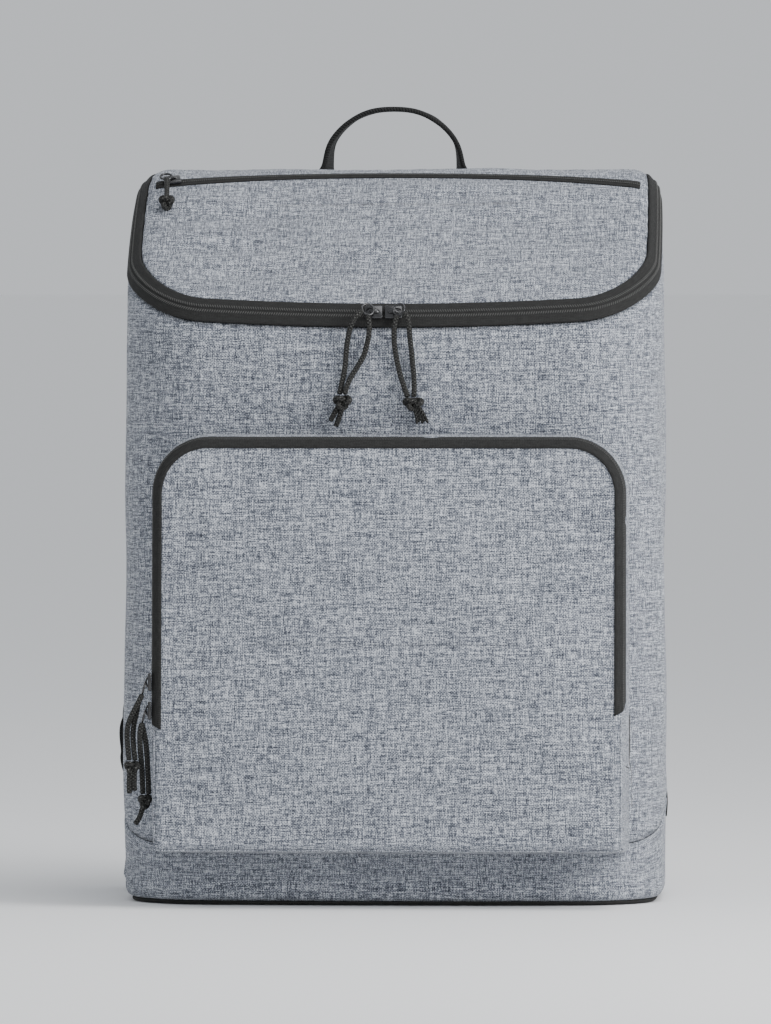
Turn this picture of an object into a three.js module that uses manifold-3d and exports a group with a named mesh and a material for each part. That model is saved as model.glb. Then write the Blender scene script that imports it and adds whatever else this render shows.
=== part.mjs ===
// Cooler backpack with a zipped lid and a zipped front pocket.
// Millimetres. The front faces -Y, +X is the right side in a front view, +Z is up. The origin is the
// middle of the flat base, on the ground.
import * as THREE from 'three';
import { mergeVertices } from 'three/addons/utils/BufferGeometryUtils.js';
import Module from 'manifold-3d';

const wasm = await Module();
wasm.setup();

// Body
const bodyWidth = 300; // across the flat sides, before they belly out
const bodyDepth = 165; // from the back wall to the front corners
const bodyHeight = 416; // highest line of the lid
const sideBelly = 4; // how far each side swells
const frontBelly = 9; // how far the front swells
const frontCornerRadius = 45;
const backCornerRadius = 22;
const padding = 6; // insulated wall: cloth, foam and liner
const sideTuck = 4; // how far the body draws in towards the lid
const seamGap = 0.3; // clearance between pieces that are sewn together
const baseFillet = 14; // rounding between the base and the walls
const filletAngles = [0, 20, 48, 90]; // rows of points on that rounding
const leastRadius = 0.6; // of a rounded corner that is drawn in
const baseSeamFront = 34; // height of the base panel's seam at the front
const baseSeamBack = 56; // and at the back
const pipingThickness = 2.4;
const pipingLift = 1; // how far above the ground it starts
const pipingLean = 35; // it hangs off the fillet at this angle under the horizontal

// Lid and its zip
const lidFrontHeight = 332; // where the lid's slope would meet the front wall
const lidSlope = 0.7; // rise over run of the lid
const lidCrownRise = 0.03; // rise over run of the flat part behind the slope
const lidBend = 5; // how softly the slope turns into the flat part
const lidEdgeRadius = 16; // rounding from the walls on to the lid
const lidTapeWidth = 16;
const tapeThickness = 1.2;
const coilWidth = 5;
const coilHeight = 0.8;
const coilBevel = 0.6;
const zipPast = 2; // stations by which the zip runs into each back corner
const lidPanelRuns = [0, 4.5, 9.5]; // rows of the lid panel, in from the zip's tape
const lidPanelShares = [0.3, 0.62, 1]; // and further in, as shares of the way to its middle line
const lidPocketTapeWidth = 7;
const lidPocketTapeThickness = 1;
const lidPocketTapeY = 29; // middle of the lid pocket's zip
const lidPocketTapeSag = 12; // how far its ends lie further forward
const lidPocketTapeLength = 276;

// Front pocket and its zip
const pocketWidth = 268; // at the body
const pocketBottom = 29.5;
const pocketTop = 265;
const pocketDepthBottom = 36;
const pocketDepthTop = 19;
const pocketLean = 3.5; // how far its sides lean in towards the front
const pocketTopRadius = 33;
const pocketBottomRadius = 4;
const pocketEdgeRadius = 4;
const pocketBelly = 2;
const pocketFaceRow = 20; // from the rounded edge to the row of points inside it on the face
const pocketCloth = 2;
const pocketSeat = 0.8; // between its sewn edge and the body, which is curved there
const pocketTapeWidth = 13;
const pocketTapeLeftEnd = 104; // height where the zip starts on each side
const pocketTapeRightEnd = 112;

// Carry handle
const handleWebbing = 25;
const handleThickness = 3;
const handleSpan = 77; // between the middles of its legs
const handleRise = 34.7; // above the lid's highest line
const handleShift = -5.3; // it leans a little to one side
const handleSewnTop = 384; // it is sewn to the back wall from here down
const handleSewnLength = 18;
const handleStandOff = 13.2; // behind the back wall, once it has turned on to its edge

// Shoulder straps, on the back
const strapWidth = 60;
const strapThickness = 10;
const strapBevel = 5;
const strapStandOff = 38; // how far the straps bow out behind the back
const webbingWidth = 25;
const webbingThickness = 2;
const buckleWidth = 36;
const buckleHeight = 24;
const buckleThickness = 6;
const anchorFold = 3; // thickness of its outer edge
const anchorHeight = 42;
const anchorGround = 2; // clearance under the anchors

// The left webbing swings out past the side and the right one stays behind the back. swing is how much
// farther out it goes. Each anchor is anchorTurn stations into its back corner and reaches anchorReach out.
const straps = [
  { name: 'left', side: -1, swing: 17.7, anchorTurn: 2, anchorReach: 20 },
  { name: 'right', side: 1, swing: 0, anchorTurn: 3, anchorReach: 15 },
];

// Zip pulls
const sliderLength = 10;
const sliderWidth = 8;
const sliderPlate = 2;
const bridgeWidth = 2.6;
const bridgeHeight = 3.4;
const bridgeWall = 1.2;
const bridgeInset = 1; // from the plate's end to the foot of the bridge
const bridgeSlant = 1;
const ringRadius = 3.4;
const ringWire = 1.2;
const pocketSliderSeat = 1.05; // where the pocket's sliders sit on its rounded edge
const cordDiameter = 3;
const lidKnot = { x: -130.5, y: -5, radius: 4.6, clearance: 0.3 };

const halfWidth = bodyWidth / 2;
const halfDepth = bodyDepth / 2;
const frontLine = -(halfDepth + frontBelly);

const { lerp, clamp, smoothstep, degToRad } = THREE.MathUtils;
const vec = (x, y, z) => new THREE.Vector3(x, y, z);
const plan = (pairs) => pairs.map(([x, y]) => new THREE.Vector2(x, y));

// Materials
const paint = (color, roughness, metalness = 0) => () =>
  new THREE.MeshStandardMaterial({ color, roughness, metalness });
const melange = paint(0x8b93a0, 0.95);
const blackTape = paint(0x303234, 0.85);
const blackWebbing = paint(0x2a2b2d, 0.9);
const blackPlastic = paint(0x1c1d1e, 0.5);
const darkMetal = paint(0x3a3b3d, 0.35, 0.8);
const blackCord = paint(0x26282a, 0.9);

// Meshing

// Turns a list of triangles into a closed geometry with shared vertices and its faces outwards.
function closedGeometry(triangles) {
  const geometry = new THREE.BufferGeometry();
  const numbers = triangles.flat().flatMap((p) => [p.x, p.y, p.z]);
  geometry.setAttribute('position', new THREE.Float32BufferAttribute(numbers, 3));
  const merged = mergeVertices(geometry, 1e-4);
  const position = merged.getAttribute('position');
  const index = merged.index.array;
  const kept = [];
  let volume = 0;
  const [a, b, c] = [vec(), vec(), vec()];
  for (let k = 0; k < index.length; k += 3) {
    const [i, j, l] = [index[k], index[k + 1], index[k + 2]];
    if (i === j || j === l || l === i) continue;
    kept.push(i, j, l);
    a.fromBufferAttribute(position, i);
    b.fromBufferAttribute(position, j);
    c.fromBufferAttribute(position, l);
    volume += a.dot(b.cross(c));
  }
  if (volume < 0) kept.reverse();
  merged.setIndex(kept);
  return merged;
}

// Joins rings of points, each ring closed on itself. A ring may shrink to a line or a point. For a twisted
// band, twisted splits each gap between four points along its shorter diagonal, so that both faces match.
function loft(rings, { loop = false, twisted = false } = {}) {
  const triangles = [];
  const last = loop ? rings.length : rings.length - 1;
  for (let k = 0; k < last; k += 1) {
    const ring = rings[k];
    const next = rings[(k + 1) % rings.length];
    for (let i = 0; i < ring.length; i += 1) {
      const j = (i + 1) % ring.length;
      const [a, b, c, d] = [ring[i], ring[j], next[j], next[i]];
      if (twisted && b.distanceTo(d) < a.distanceTo(c)) triangles.push([a, b, d], [b, c, d]);
      else triangles.push([a, b, c], [a, c, d]);
    }
  }
  return triangles;
}

// Joins equal cross-sections into a strip and closes both ends. outline is the section in 2D.
function strip(sections, outline, options) {
  const triangles = loft(sections, options);
  const flat = plan(outline);
  const clockwise = THREE.ShapeUtils.isClockWise(flat);
  const first = sections[0];
  const last = sections[sections.length - 1];
  for (const [i, j, k] of THREE.ShapeUtils.triangulateShape(flat, [])) {
    const same = THREE.ShapeUtils.isClockWise([flat[i], flat[j], flat[k]]) === clockwise;
    const [s, t] = same ? [i, k] : [k, i];
    triangles.push([first[t], first[j], first[s]], [last[s], last[j], last[t]]);
  }
  return triangles;
}

function toManifold(geometry) {
  const plain = geometry.clone();
  plain.deleteAttribute('normal');
  plain.deleteAttribute('uv');
  const merged = mergeVertices(plain, 1e-4);
  return new wasm.Manifold(new wasm.Mesh({
    numProp: 3,
    vertProperties: new Float32Array(merged.getAttribute('position').array),
    triVerts: new Uint32Array(merged.index.array),
  }));
}

function fromManifold(solid) {
  const { vertProperties, triVerts } = solid.getMesh();
  const geometry = new THREE.BufferGeometry();
  geometry.setAttribute('position', new THREE.BufferAttribute(vertProperties, 3));
  geometry.setIndex(new THREE.BufferAttribute(triVerts, 1));
  return geometry;
}

const group = new THREE.Group();

function add(name, geometry, material, parent = group) {
  const mesh = new THREE.Mesh(geometry, material());
  mesh.name = name;
  parent.add(mesh);
  return mesh;
}

// Body outline, seen from above

// Corners in order, counterclockwise from the front right one. turn is where each arc starts.
const corners = [
  { x: 1, y: -1, radius: frontCornerRadius, turn: -90, arcSteps: 8, straightSteps: 4 },
  { x: 1, y: 1, radius: backCornerRadius, turn: 0, arcSteps: 5, straightSteps: 10 },
  { x: -1, y: 1, radius: backCornerRadius, turn: 90, arcSteps: 5, straightSteps: 4 },
  { x: -1, y: -1, radius: frontCornerRadius, turn: 180, arcSteps: 8, straightSteps: 10 },
];

// Stations go round the outline: on each corner's arc, then along the straight run after it.
// spine says where a station's point ends when a panel closes on the line along its middle.
const stations = corners.flatMap((corner, k) => {
  const next = corners[(k + 1) % corners.length];
  const onArc = Array.from({ length: corner.arcSteps + 1 }, (_, i) => (
    { corner, turn: corner.turn + 90 * i / corner.arcSteps, spine: corner.x }));
  const onStraight = Array.from({ length: corner.straightSteps - 1 }, (_, i) => {
    const share = (i + 1) / corner.straightSteps;
    return { corner, next, share, spine: lerp(corner.x, next.x, share) };
  });
  return [...onArc, ...onStraight];
});
const wrap = (i) => (i + stations.length) % stations.length;

function arcPoint(corner, turn, inset) {
  const radius = Math.max(corner.radius - inset, leastRadius);
  const angle = degToRad(turn);
  return {
    x: corner.x * (halfWidth - corner.radius) + radius * Math.cos(angle),
    y: corner.y * (halfDepth - corner.radius) + radius * Math.sin(angle),
  };
}

// A station's point on the outline drawn in by inset, with the swell of the sides and the front.
function planPoint(i, inset) {
  const station = stations[wrap(i)];
  let { x, y } = station.next
    ? arcPoint(station.corner, station.corner.turn + 90, inset)
    : arcPoint(station.corner, station.turn, inset);
  if (station.next) {
    const end = arcPoint(station.next, station.next.turn, inset);
    x = lerp(x, end.x, station.share);
    y = lerp(y, end.y, station.share);
  }
  const sideShare = 1 - (y / halfDepth) ** 2;
  const frontShare = y < 0 ? (1 - (x / halfWidth) ** 2) * (-y / halfDepth) : 0;
  return { x: x * (1 + sideBelly * sideShare / halfWidth), y: y - frontBelly * frontShare };
}

// How far the body draws in at each height, as shares of the body's height and of the tuck.
const tuckRows = [
  { height: 0, tuck: 0.3 },
  { height: 0.15, tuck: 0 },
  { height: 0.55, tuck: 0.05 },
  { height: 0.75, tuck: 0.35 },
  { height: 0.9, tuck: 0.8 },
  { height: 1, tuck: 1 },
];

function wallInset(z) {
  const share = clamp(z / bodyHeight, 0, 1);
  const k = Math.max(1, tuckRows.findIndex((row) => row.height >= share));
  const [low, high] = [tuckRows[k - 1], tuckRows[k]];
  const tuck = sideTuck * lerp(low.tuck, high.tuck, (share - low.height) / (high.height - low.height));
  const under = clamp(1 - z / baseFillet, 0, 1);
  return tuck + baseFillet * (1 - Math.sqrt(1 - under ** 2));
}

function wallPoint(i, z, inward = 0) {
  const { x, y } = planPoint(i, wallInset(z) + inward);
  return vec(x, y, z);
}

// Front of the body at a given width and height.
function frontWallY(x, z) {
  const ring = stations.map((_, i) => wallPoint(i, z));
  for (let i = 0; i < ring.length; i += 1) {
    const [a, b] = [ring[i], ring[wrap(i + 1)]];
    const share = (x - a.x) / (b.x - a.x);
    if (a.x < b.x && share >= 0 && share <= 1) return lerp(a.y, b.y, share);
  }
  return 0;
}

// Lid surface

// Height of the lid before its edges are rounded: a slope that bends softly into a flat part.
function lidPlane(y) {
  const slope = lidFrontHeight + lidSlope * (y - frontLine);
  const crown = bodyHeight + lidCrownRise * (y - halfDepth);
  return (slope + crown) / 2 - Math.hypot((slope - crown) / 2, lidBend);
}
const lidPitch = (y) => lidPlane(y + 0.5) - lidPlane(y - 0.5);

// Where the walls end and the rounding on to the lid starts, one for each station.
const rims = stations.map((_, i) => {
  const [before, after] = [planPoint(i - 1, 0), planPoint(i + 1, 0)];
  const out = vec(after.y - before.y, before.x - after.x, 0).normalize();
  let rim = { z: lidFrontHeight };
  for (let round = 0; round < 4; round += 1) {
    const { x, y } = planPoint(i, wallInset(rim.z));
    const pitch = Math.atan(-out.y * lidPitch(y));
    const tangentRun = lidEdgeRadius * (1 - Math.sin(pitch));
    const z = lidPlane(y - out.y * tangentRun) - lidEdgeRadius * Math.cos(pitch);
    rim = { x, y, z, out, pitch, tangentRun };
  }
  return { ...rim, roundLength: lidEdgeRadius * (Math.PI / 2 - rim.pitch) };
});

// A point on the lid's skin, run millimetres along the skin from the rim of station i.
function skinPoint(i, run) {
  const rim = rims[wrap(i)];
  if (run <= 0) return vec(rim.x, rim.y, rim.z + run);
  const tilt = Math.PI / 2 - run / lidEdgeRadius;
  const rounded = run < rim.roundLength;
  const inward = rounded
    ? lidEdgeRadius * (1 - Math.sin(tilt))
    : rim.tangentRun + (run - rim.roundLength) * Math.cos(rim.pitch);
  const x = rim.x - rim.out.x * inward;
  const y = rim.y - rim.out.y * inward;
  return vec(x, y, rounded ? rim.z + lidEdgeRadius * Math.cos(tilt) : lidPlane(y));
}

// The same point lifted off the skin, or sunk under it with a negative lift.
function skin(i, run, lift = 0) {
  const inwards = skinPoint(i, run + 0.1).sub(skinPoint(i, run - 0.1));
  const along = skinPoint(i + 1, run).sub(skinPoint(i - 1, run));
  return skinPoint(i, run).addScaledVector(along.cross(inwards).normalize(), lift);
}

// A point over the inner part of the lid, with the direction that faces away from it.
function onLid(x, y, lift = 0) {
  const swell = sideBelly * (1 - (y / halfDepth) ** 2);
  const tucked = halfWidth + swell - wallInset(lidPlane(y)) - Math.abs(x);
  const edge = clamp(1 - tucked / lidEdgeRadius, 0, 1);
  const drop = lidEdgeRadius * (1 - Math.sqrt(1 - edge ** 2));
  const sideways = edge / Math.sqrt(1 - edge ** 2) * Math.sign(x);
  const out = vec(sideways, -lidPitch(y), 1).normalize();
  return { point: vec(x, y, lidPlane(y) - drop).addScaledVector(out, lift), out };
}

// Panels of the body

const ringAt = (z, inward) => stations.map((_, i) => wallPoint(i, z, inward));
const spineEnd = halfWidth - halfDepth;
const spineRing = (z) => stations.map((station) => vec(station.spine * spineEnd, 0, z));

const seamHeight = (i) => lerp(baseSeamFront, baseSeamBack, smoothstep(planPoint(i, 0).y, -halfDepth, 0));
const seamRing = (offset, inward) => stations.map((_, i) => wallPoint(i, seamHeight(i) + offset, inward));

function basePanel() {
  const fillet = filletAngles.map((angle) => baseFillet * (1 - Math.cos(degToRad(angle))));
  return closedGeometry(loft([
    spineRing(0),
    ...fillet.map((z) => ringAt(z, 0)),
    seamRing(-seamGap / 2, 0),
    seamRing(-seamGap / 2, padding),
    ringAt(baseFillet + padding, padding),
    ringAt(padding, padding),
    spineRing(padding),
  ]));
}

// Bound edge round the base, lying on the fillet just above the ground.
function basePiping() {
  const radius = pipingThickness / 2;
  const height = radius + seamGap + pipingLift;
  const sides = 5;
  const lean = degToRad(pipingLean);
  const rings = Array.from({ length: sides }, (_, k) => {
    const angle = 2 * Math.PI * k / sides;
    return stations.map((_, i) => {
      const on = wallPoint(i, height);
      const out = rims[i].out;
      const offset = radius + seamGap;
      const centre = on.clone().addScaledVector(out, offset * Math.cos(lean));
      centre.z -= offset * Math.sin(lean);
      centre.addScaledVector(out, radius * Math.cos(angle));
      centre.z += radius * Math.sin(angle);
      return centre;
    });
  });
  return closedGeometry(loft(rings, { loop: true }));
}

// The zip runs round the front and the sides and stops a few stations into the back corners.
const firstOf = (corner) => stations.findIndex((station) => station.corner === corner);
const zipEnds = {
  right: firstOf(corners[1]) + zipPast,
  left: firstOf(corners[2]) + corners[2].arcSteps - zipPast,
};
const onZip = (i) => i <= zipEnds.right || i >= zipEnds.left;

// Front, sides and back in one, a tube with no top or bottom. Its back edge turns over on to the lid.
function bodyShell() {
  const overlap = (i) => (onZip(i) ? 0 : lidTapeWidth - seamGap);
  const turned = (share, lift) => stations.map((_, i) => skin(i, share * overlap(i), lift));
  const levels = [0, 0.2, 0.4, 0.6, 0.8, 0.93];
  const wallRing = (level, inward) => stations.map((_, i) => (
    wallPoint(i, lerp(seamHeight(i) + seamGap / 2, rims[i].z, level), inward)));
  const folds = [0, 0.25, 0.5, 0.75, 1];
  return closedGeometry(loft([
    ...levels.map((level) => wallRing(level, 0)),
    ...folds.map((share) => turned(share, 0)),
    ...[1, 0.5, 0].map((share) => turned(share, -padding)),
    ...[levels[5], levels[3], levels[1], levels[0]].map((level) => wallRing(level, padding)),
  ], { loop: true }));
}

function lidPanel() {
  const runs = lidPanelRuns.map((run) => lidTapeWidth + run);
  const inner = (share, lift) => stations.map((station, i) => {
    const edge = skinPoint(i, runs[2]);
    const x = lerp(edge.x, station.spine * spineEnd, share);
    const y = lerp(edge.y, 0, share);
    return onLid(x, y, lift).point;
  });
  const side = (lift) => [
    ...runs.map((run) => stations.map((_, i) => skin(i, run, lift))),
    ...lidPanelShares.map((share) => inner(share, lift)),
  ];
  return closedGeometry(loft([...side(0).reverse(), ...side(-padding)]));
}

// Zip tape between the walls and the lid, with the closed coil as a ridge along its middle.
function lidZipTape() {
  const [start, end] = [seamGap, lidTapeWidth - seamGap];
  const middle = lidTapeWidth / 2;
  const [coilStart, coilEnd] = [middle - coilWidth / 2, middle + coilWidth / 2];
  const outline = [
    [start, 0], [(start + coilStart) / 2, 0], [coilStart, 0], [coilStart + coilBevel, coilHeight],
    [coilEnd - coilBevel, coilHeight], [coilEnd, 0], [(end + coilEnd) / 2, 0], [end, 0],
    [end, -tapeThickness], [coilEnd, -tapeThickness], [coilStart, -tapeThickness],
    [start, -tapeThickness],
  ];
  const path = stations.map((_, i) => i).filter(onZip);
  const turn = path.indexOf(zipEnds.left);
  const order = [...path.slice(turn), ...path.slice(0, turn)];
  const sections = order.map((i) => outline.map(([run, lift]) => skin(i, run, lift)));
  const { out } = rims[order[0]];
  return closedGeometry(strip(sections, sections[0].map((p) => [p.dot(out), p.z])));
}

const lidPocketLine = (x) => lidPocketTapeY - lidPocketTapeSag * (2 * x / lidPocketTapeLength) ** 2;

function lidPocketZipTape() {
  const steps = 20;
  const half = lidPocketTapeWidth / 2;
  const top = seamGap + lidPocketTapeThickness;
  const outline = [[-half, seamGap], [half, seamGap], [half, top], [-half, top]];
  const sections = Array.from({ length: steps + 1 }, (_, k) => {
    const x = lidPocketTapeLength * (k / steps - 0.5);
    return outline.map(([across, lift]) => onLid(x, lidPocketLine(x) + across, lift).point);
  });
  return closedGeometry(strip(sections, outline));
}

// Front pocket

// Stations round the pocket, counterclockwise seen from the front, from the middle of its left side.
// Corner centres are shares of the half width and of the half height less the corner's radius.
const pocketMiddle = (pocketTop + pocketBottom) / 2;
const pocketHalfHeight = (pocketTop - pocketBottom) / 2;
const pocketHalfWidth = pocketWidth / 2;
const pocketCorners = [
  { x: -1, z: -1, radius: pocketBottomRadius, turn: 180, arcSteps: 2, straightSteps: 14 },
  { x: 1, z: -1, radius: pocketBottomRadius, turn: 270, arcSteps: 2, straightSteps: 6 },
  { x: 1, z: 1, radius: pocketTopRadius, turn: 0, arcSteps: 7, straightSteps: 14 },
  { x: -1, z: 1, radius: pocketTopRadius, turn: 90, arcSteps: 7, straightSteps: 6 },
];

function pocketArc(corner, turn, inset) {
  const radius = Math.max(corner.radius - inset, leastRadius);
  const angle = degToRad(turn);
  const reach = Math.max(corner.radius, inset + leastRadius);
  return {
    x: corner.x * (pocketHalfWidth - reach) + radius * Math.cos(angle),
    z: pocketMiddle + corner.z * (pocketHalfHeight - reach) + radius * Math.sin(angle),
  };
}

const pocketStations = pocketCorners.flatMap((corner, k) => {
  const next = pocketCorners[(k + 1) % pocketCorners.length];
  const onArc = Array.from({ length: corner.arcSteps + 1 }, (_, i) => (
    { at: (inset) => pocketArc(corner, corner.turn + 90 * i / corner.arcSteps, inset), spine: corner.x }));
  const onStraight = Array.from({ length: corner.straightSteps - 1 }, (_, i) => {
    const share = 0.5 - 0.5 * Math.cos(Math.PI * (i + 1) / corner.straightSteps);
    const at = (inset) => {
      const from = pocketArc(corner, corner.turn + 90, inset);
      const to = pocketArc(next, next.turn, inset);
      return { x: lerp(from.x, to.x, share), z: lerp(from.z, to.z, share) };
    };
    return { at, spine: lerp(corner.x, next.x, share) };
  });
  return [...onArc, ...onStraight];
});

// The pocket's face leans back towards the top and swells a little in the middle.
function pocketFaceY(x, z) {
  const share = (z - pocketBottom) / (pocketTop - pocketBottom);
  const swell = pocketBelly * (1 - (x / pocketHalfWidth) ** 2) * Math.sin(Math.PI * clamp(share, 0, 1));
  return frontLine - lerp(pocketDepthBottom, pocketDepthTop, share) - swell;
}

// A point on the pocket's skin. along runs out of the body on the side (0 to 1), round the edge (1 to 2)
// and in over the face (past 2, in millimetres). lift is outwards.
function pocketSkin(station, along, lift = 0) {
  const round = pocketEdgeRadius + lift;
  const angle = clamp(along - 1, 0, 1) * Math.PI / 2;
  const lean = pocketLean * Math.min(along, 1);
  const inset = lean - lift + (along > 1 ? round * (1 - Math.cos(angle)) : 0) + Math.max(along - 2, 0);
  const { x, z } = station.at(inset);
  const edge = station.at(pocketLean + pocketEdgeRadius);
  const wall = frontWallY(x, z) - pocketSeat;
  const sideEnd = pocketFaceY(edge.x, edge.z) + pocketEdgeRadius;
  if (along <= 1) return vec(x, lerp(wall, sideEnd, along), z);
  if (along <= 2) return vec(x, sideEnd - round * Math.sin(angle), z);
  return vec(x, pocketFaceY(x, z) - lift, z);
}

function frontPocket() {
  const rowSteps = [0, 0.5, 1, 1.33, 1.67, 2, 2 + pocketFaceRow];
  const linerSteps = [0, 1, 1.5, 2, 2 + pocketFaceRow];
  const skinRing = (along, lift) => pocketStations.map((station) => pocketSkin(station, along, lift));
  const spine = (lift) => pocketStations.map((station) => {
    const x = station.spine * (pocketHalfWidth - pocketHalfHeight / 2);
    return vec(x, pocketFaceY(x, pocketMiddle) - lift, pocketMiddle);
  });
  return closedGeometry(loft([
    spine(0),
    ...rowSteps.map((along) => skinRing(along, 0)).reverse(),
    ...linerSteps.map((along) => skinRing(along, -pocketCloth)),
    spine(-pocketCloth),
  ]));
}

// Zip round the pocket's top and sides, over its rounded edge.
function frontPocketZipTape() {
  const sideSteps = 6;
  const [, bottomRight, topRight, topLeft] = pocketCorners;
  const upright = (corner, turn, from, to) => Array.from({ length: sideSteps }, (_, k) => {
    const z = lerp(from, to, k / sideSteps);
    return { at: (inset) => ({ x: pocketArc(corner, turn, inset).x, z }) };
  });
  const sideTop = pocketTop - pocketTopRadius;
  const rightArc = pocketStations.findIndex((station) => station.spine === topRight.x
    && station.at(0).z >= sideTop - 0.01);
  const topCount = topRight.arcSteps + topRight.straightSteps + topLeft.arcSteps + 1;
  const path = [
    ...upright(bottomRight, 360, pocketTapeRightEnd, sideTop),
    ...pocketStations.slice(rightArc, rightArc + topCount),
    ...upright(topLeft, 180, pocketTapeLeftEnd, sideTop).reverse(),
  ];
  const sideShare = (pocketTapeWidth - pocketEdgeRadius * Math.PI / 2) / pocketDepthTop;
  const alongs = [1 - sideShare, 1, 1.33, 1.67, 2];
  const outline = [
    ...alongs.map((along) => [along, seamGap]),
    ...alongs.map((along) => [along, seamGap + tapeThickness]).reverse(),
  ];
  const sections = path.map((station) => outline.map(([along, lift]) => pocketSkin(station, along, lift)));
  return closedGeometry(strip(sections, sections[0].map((p) => [p.x, p.y])));
}

// Webbing and straps

// A flat band along a smooth route. Each row of the route has a centre and the direction of its width.
function band(rows, width, thickness, steps, roundness = 0) {
  const centres = new THREE.CatmullRomCurve3(rows.map((row) => row.centre), false, 'centripetal');
  const across = new THREE.CatmullRomCurve3(rows.map((row) => row.across), false, 'centripetal');
  const [w, t] = [width / 2, thickness / 2];
  const outline = roundness > 0
    ? [[-w, 0], [-w + roundness, -t], [w - roundness, -t], [w, 0], [w - roundness, t], [-w + roundness, t]]
    : [[-w, -t], [0, -t], [w, -t], [w, t], [0, t], [-w, t]];
  const sections = Array.from({ length: steps + 1 }, (_, k) => {
    const share = k / steps;
    const centre = centres.getPoint(share);
    const tangent = centres.getTangent(share);
    const side = across.getPoint(share);
    side.addScaledVector(tangent, -side.dot(tangent)).normalize();
    const face = tangent.clone().cross(side);
    return outline.map(([u, v]) => centre.clone().addScaledVector(side, u).addScaledVector(face, v));
  });
  return closedGeometry(strip(sections, outline, { twisted: true }));
}

// The handle is sewn flat to the back wall, turns on to its edge, and arches over the lid.
// Rows: share of the span, share of the rise above the lid, how far the webbing has turned (1 is a
// quarter turn), share of the stand-off behind the back wall.
const handleRows = [
  { span: -1, rise: -0.72, turn: 0.14, off: 0.34 },
  { span: -1, rise: -0.36, turn: 0.58, off: 0.8 },
  { span: -1, rise: 0, turn: 0.9, off: 1 },
  { span: -0.93, rise: 0.42, turn: 0.97, off: 0.9 },
  { span: -0.68, rise: 0.76, turn: 1, off: 0.75 },
  { span: -0.36, rise: 0.95, turn: 1, off: 0.65 },
  { span: 0, rise: 1, turn: 1, off: 0.6 },
  { span: 0.36, rise: 0.95, turn: 1, off: 0.65 },
  { span: 0.68, rise: 0.76, turn: 1, off: 0.75 },
  { span: 0.93, rise: 0.42, turn: 0.97, off: 0.9 },
  { span: 1, rise: 0, turn: 0.9, off: 1 },
  { span: 1, rise: -0.36, turn: 0.58, off: 0.8 },
  { span: 1, rise: -0.72, turn: 0.14, off: 0.34 },
];

// Middle of a band that lies on the back wall at a given height.
const onBackWall = (x, z, thickness) => vec(x, halfDepth - wallInset(z) + seamGap + thickness / 2, z);

function carryHandle() {
  const top = handleRise - handleThickness / 2;
  const sewn = (side, z) => ({
    centre: onBackWall(handleShift + side * handleSpan / 2, z, handleThickness + 2 * seamGap),
    across: vec(-side, 0, 0),
  });
  const free = handleRows.map(({ span, rise, turn, off }) => {
    const angle = turn * Math.PI / 2;
    const centre = onBackWall(handleShift + span * handleSpan / 2, bodyHeight, handleThickness);
    centre.y += off * handleStandOff;
    centre.z += rise * top;
    return { centre, across: vec(-Math.sign(span) * Math.cos(angle), Math.sin(angle), 0) };
  });
  const heights = [1, 0.12, 0].map((share) => handleSewnTop - share * handleSewnLength);
  const [left, right] = [-1, 1].map((side) => heights.map((z) => sewn(side, z)));
  return band([...left, ...free, ...right.reverse()], handleWebbing, handleThickness, 36);
}

// Rows down each strap: shares of the body's half width, of the stand-off behind the back and of the
// body's height. angle turns the webbing's width from sideways (0) to backwards (90), and swung is its share
// of the swing.
const strapRows = [
  { out: 0.3, off: 0, height: 0.865 },
  { out: 0.305, off: 0.02, height: 0.825 },
  { out: 0.35, off: 0.5, height: 0.75 },
  { out: 0.43, off: 0.95, height: 0.66 },
  { out: 0.52, off: 1, height: 0.57 },
  { out: 0.59, off: 0.8, height: 0.495 },
  { out: 0.63, off: 0.56, height: 0.445 },
];
const webbingRows = [
  { out: 0.72, off: 0.27, height: 0.348, angle: 10, swung: 0.1 },
  { out: 0.846, off: 0.26, height: 0.308, angle: 40, swung: 0.4 },
  { out: 0.932, off: 0.26, height: 0.272, angle: 70, swung: 0.9 },
  { out: 0.965, off: 0.23, height: 0.225, angle: 90, swung: 1 },
  { out: 0.936, off: 0.1, height: 0.178, angle: 106, swung: 0.97 },
];

function strapPoint(side, { out, off, height }) {
  const point = onBackWall(side * out * halfWidth, height * bodyHeight, strapThickness);
  point.y += off * strapStandOff;
  return point;
}

// Where each padded strap ends and the direction it ends in.
function strapEnd(side) {
  const [before, last] = strapRows.slice(-2).map((row) => strapPoint(side, row));
  return { end: last, towards: last.clone().sub(before).normalize() };
}

function shoulderStrap(side) {
  const rows = strapRows.map((row) => ({ centre: strapPoint(side, row), across: vec(side, 0, 0) }));
  return band(rows, strapWidth, strapThickness, 16, strapBevel);
}

// The webbing starts under the buckle, swings out and comes back to the lower corner, where it stands on
// top of the anchor.
function strapWebbing({ side, swing, anchorTurn }) {
  const { end, towards } = strapEnd(side);
  const anchorStation = firstOf(corners[1]) + anchorTurn;
  const first = [2 * seamGap, webbingWidth / 5].map((past) => ({
    centre: end.clone().addScaledVector(towards, buckleHeight + past),
    across: vec(side, 0, 0),
  }));
  const corner = planPoint(anchorStation, wallInset(anchorHeight));
  const { out } = rims[anchorStation];
  const lift = seamGap + webbingThickness;
  const sewn = (z) => ({
    centre: vec(side * (corner.x + lift * out.x), corner.y + lift * out.y, z),
    across: vec(-side * out.y, out.x, 0),
  });
  const rows = webbingRows.map((row) => ({
    centre: strapPoint(side, row).add(vec(side * swing * row.swung, 0, 0)),
    across: vec(side * Math.cos(degToRad(row.angle)), Math.sin(degToRad(row.angle)), 0),
  }));
  const bottom = anchorHeight + seamGap;
  const route = [...first, ...rows, sewn(bottom + webbingWidth / 2), sewn(bottom)];
  return band(route, webbingWidth, webbingThickness, 18);
}

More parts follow.
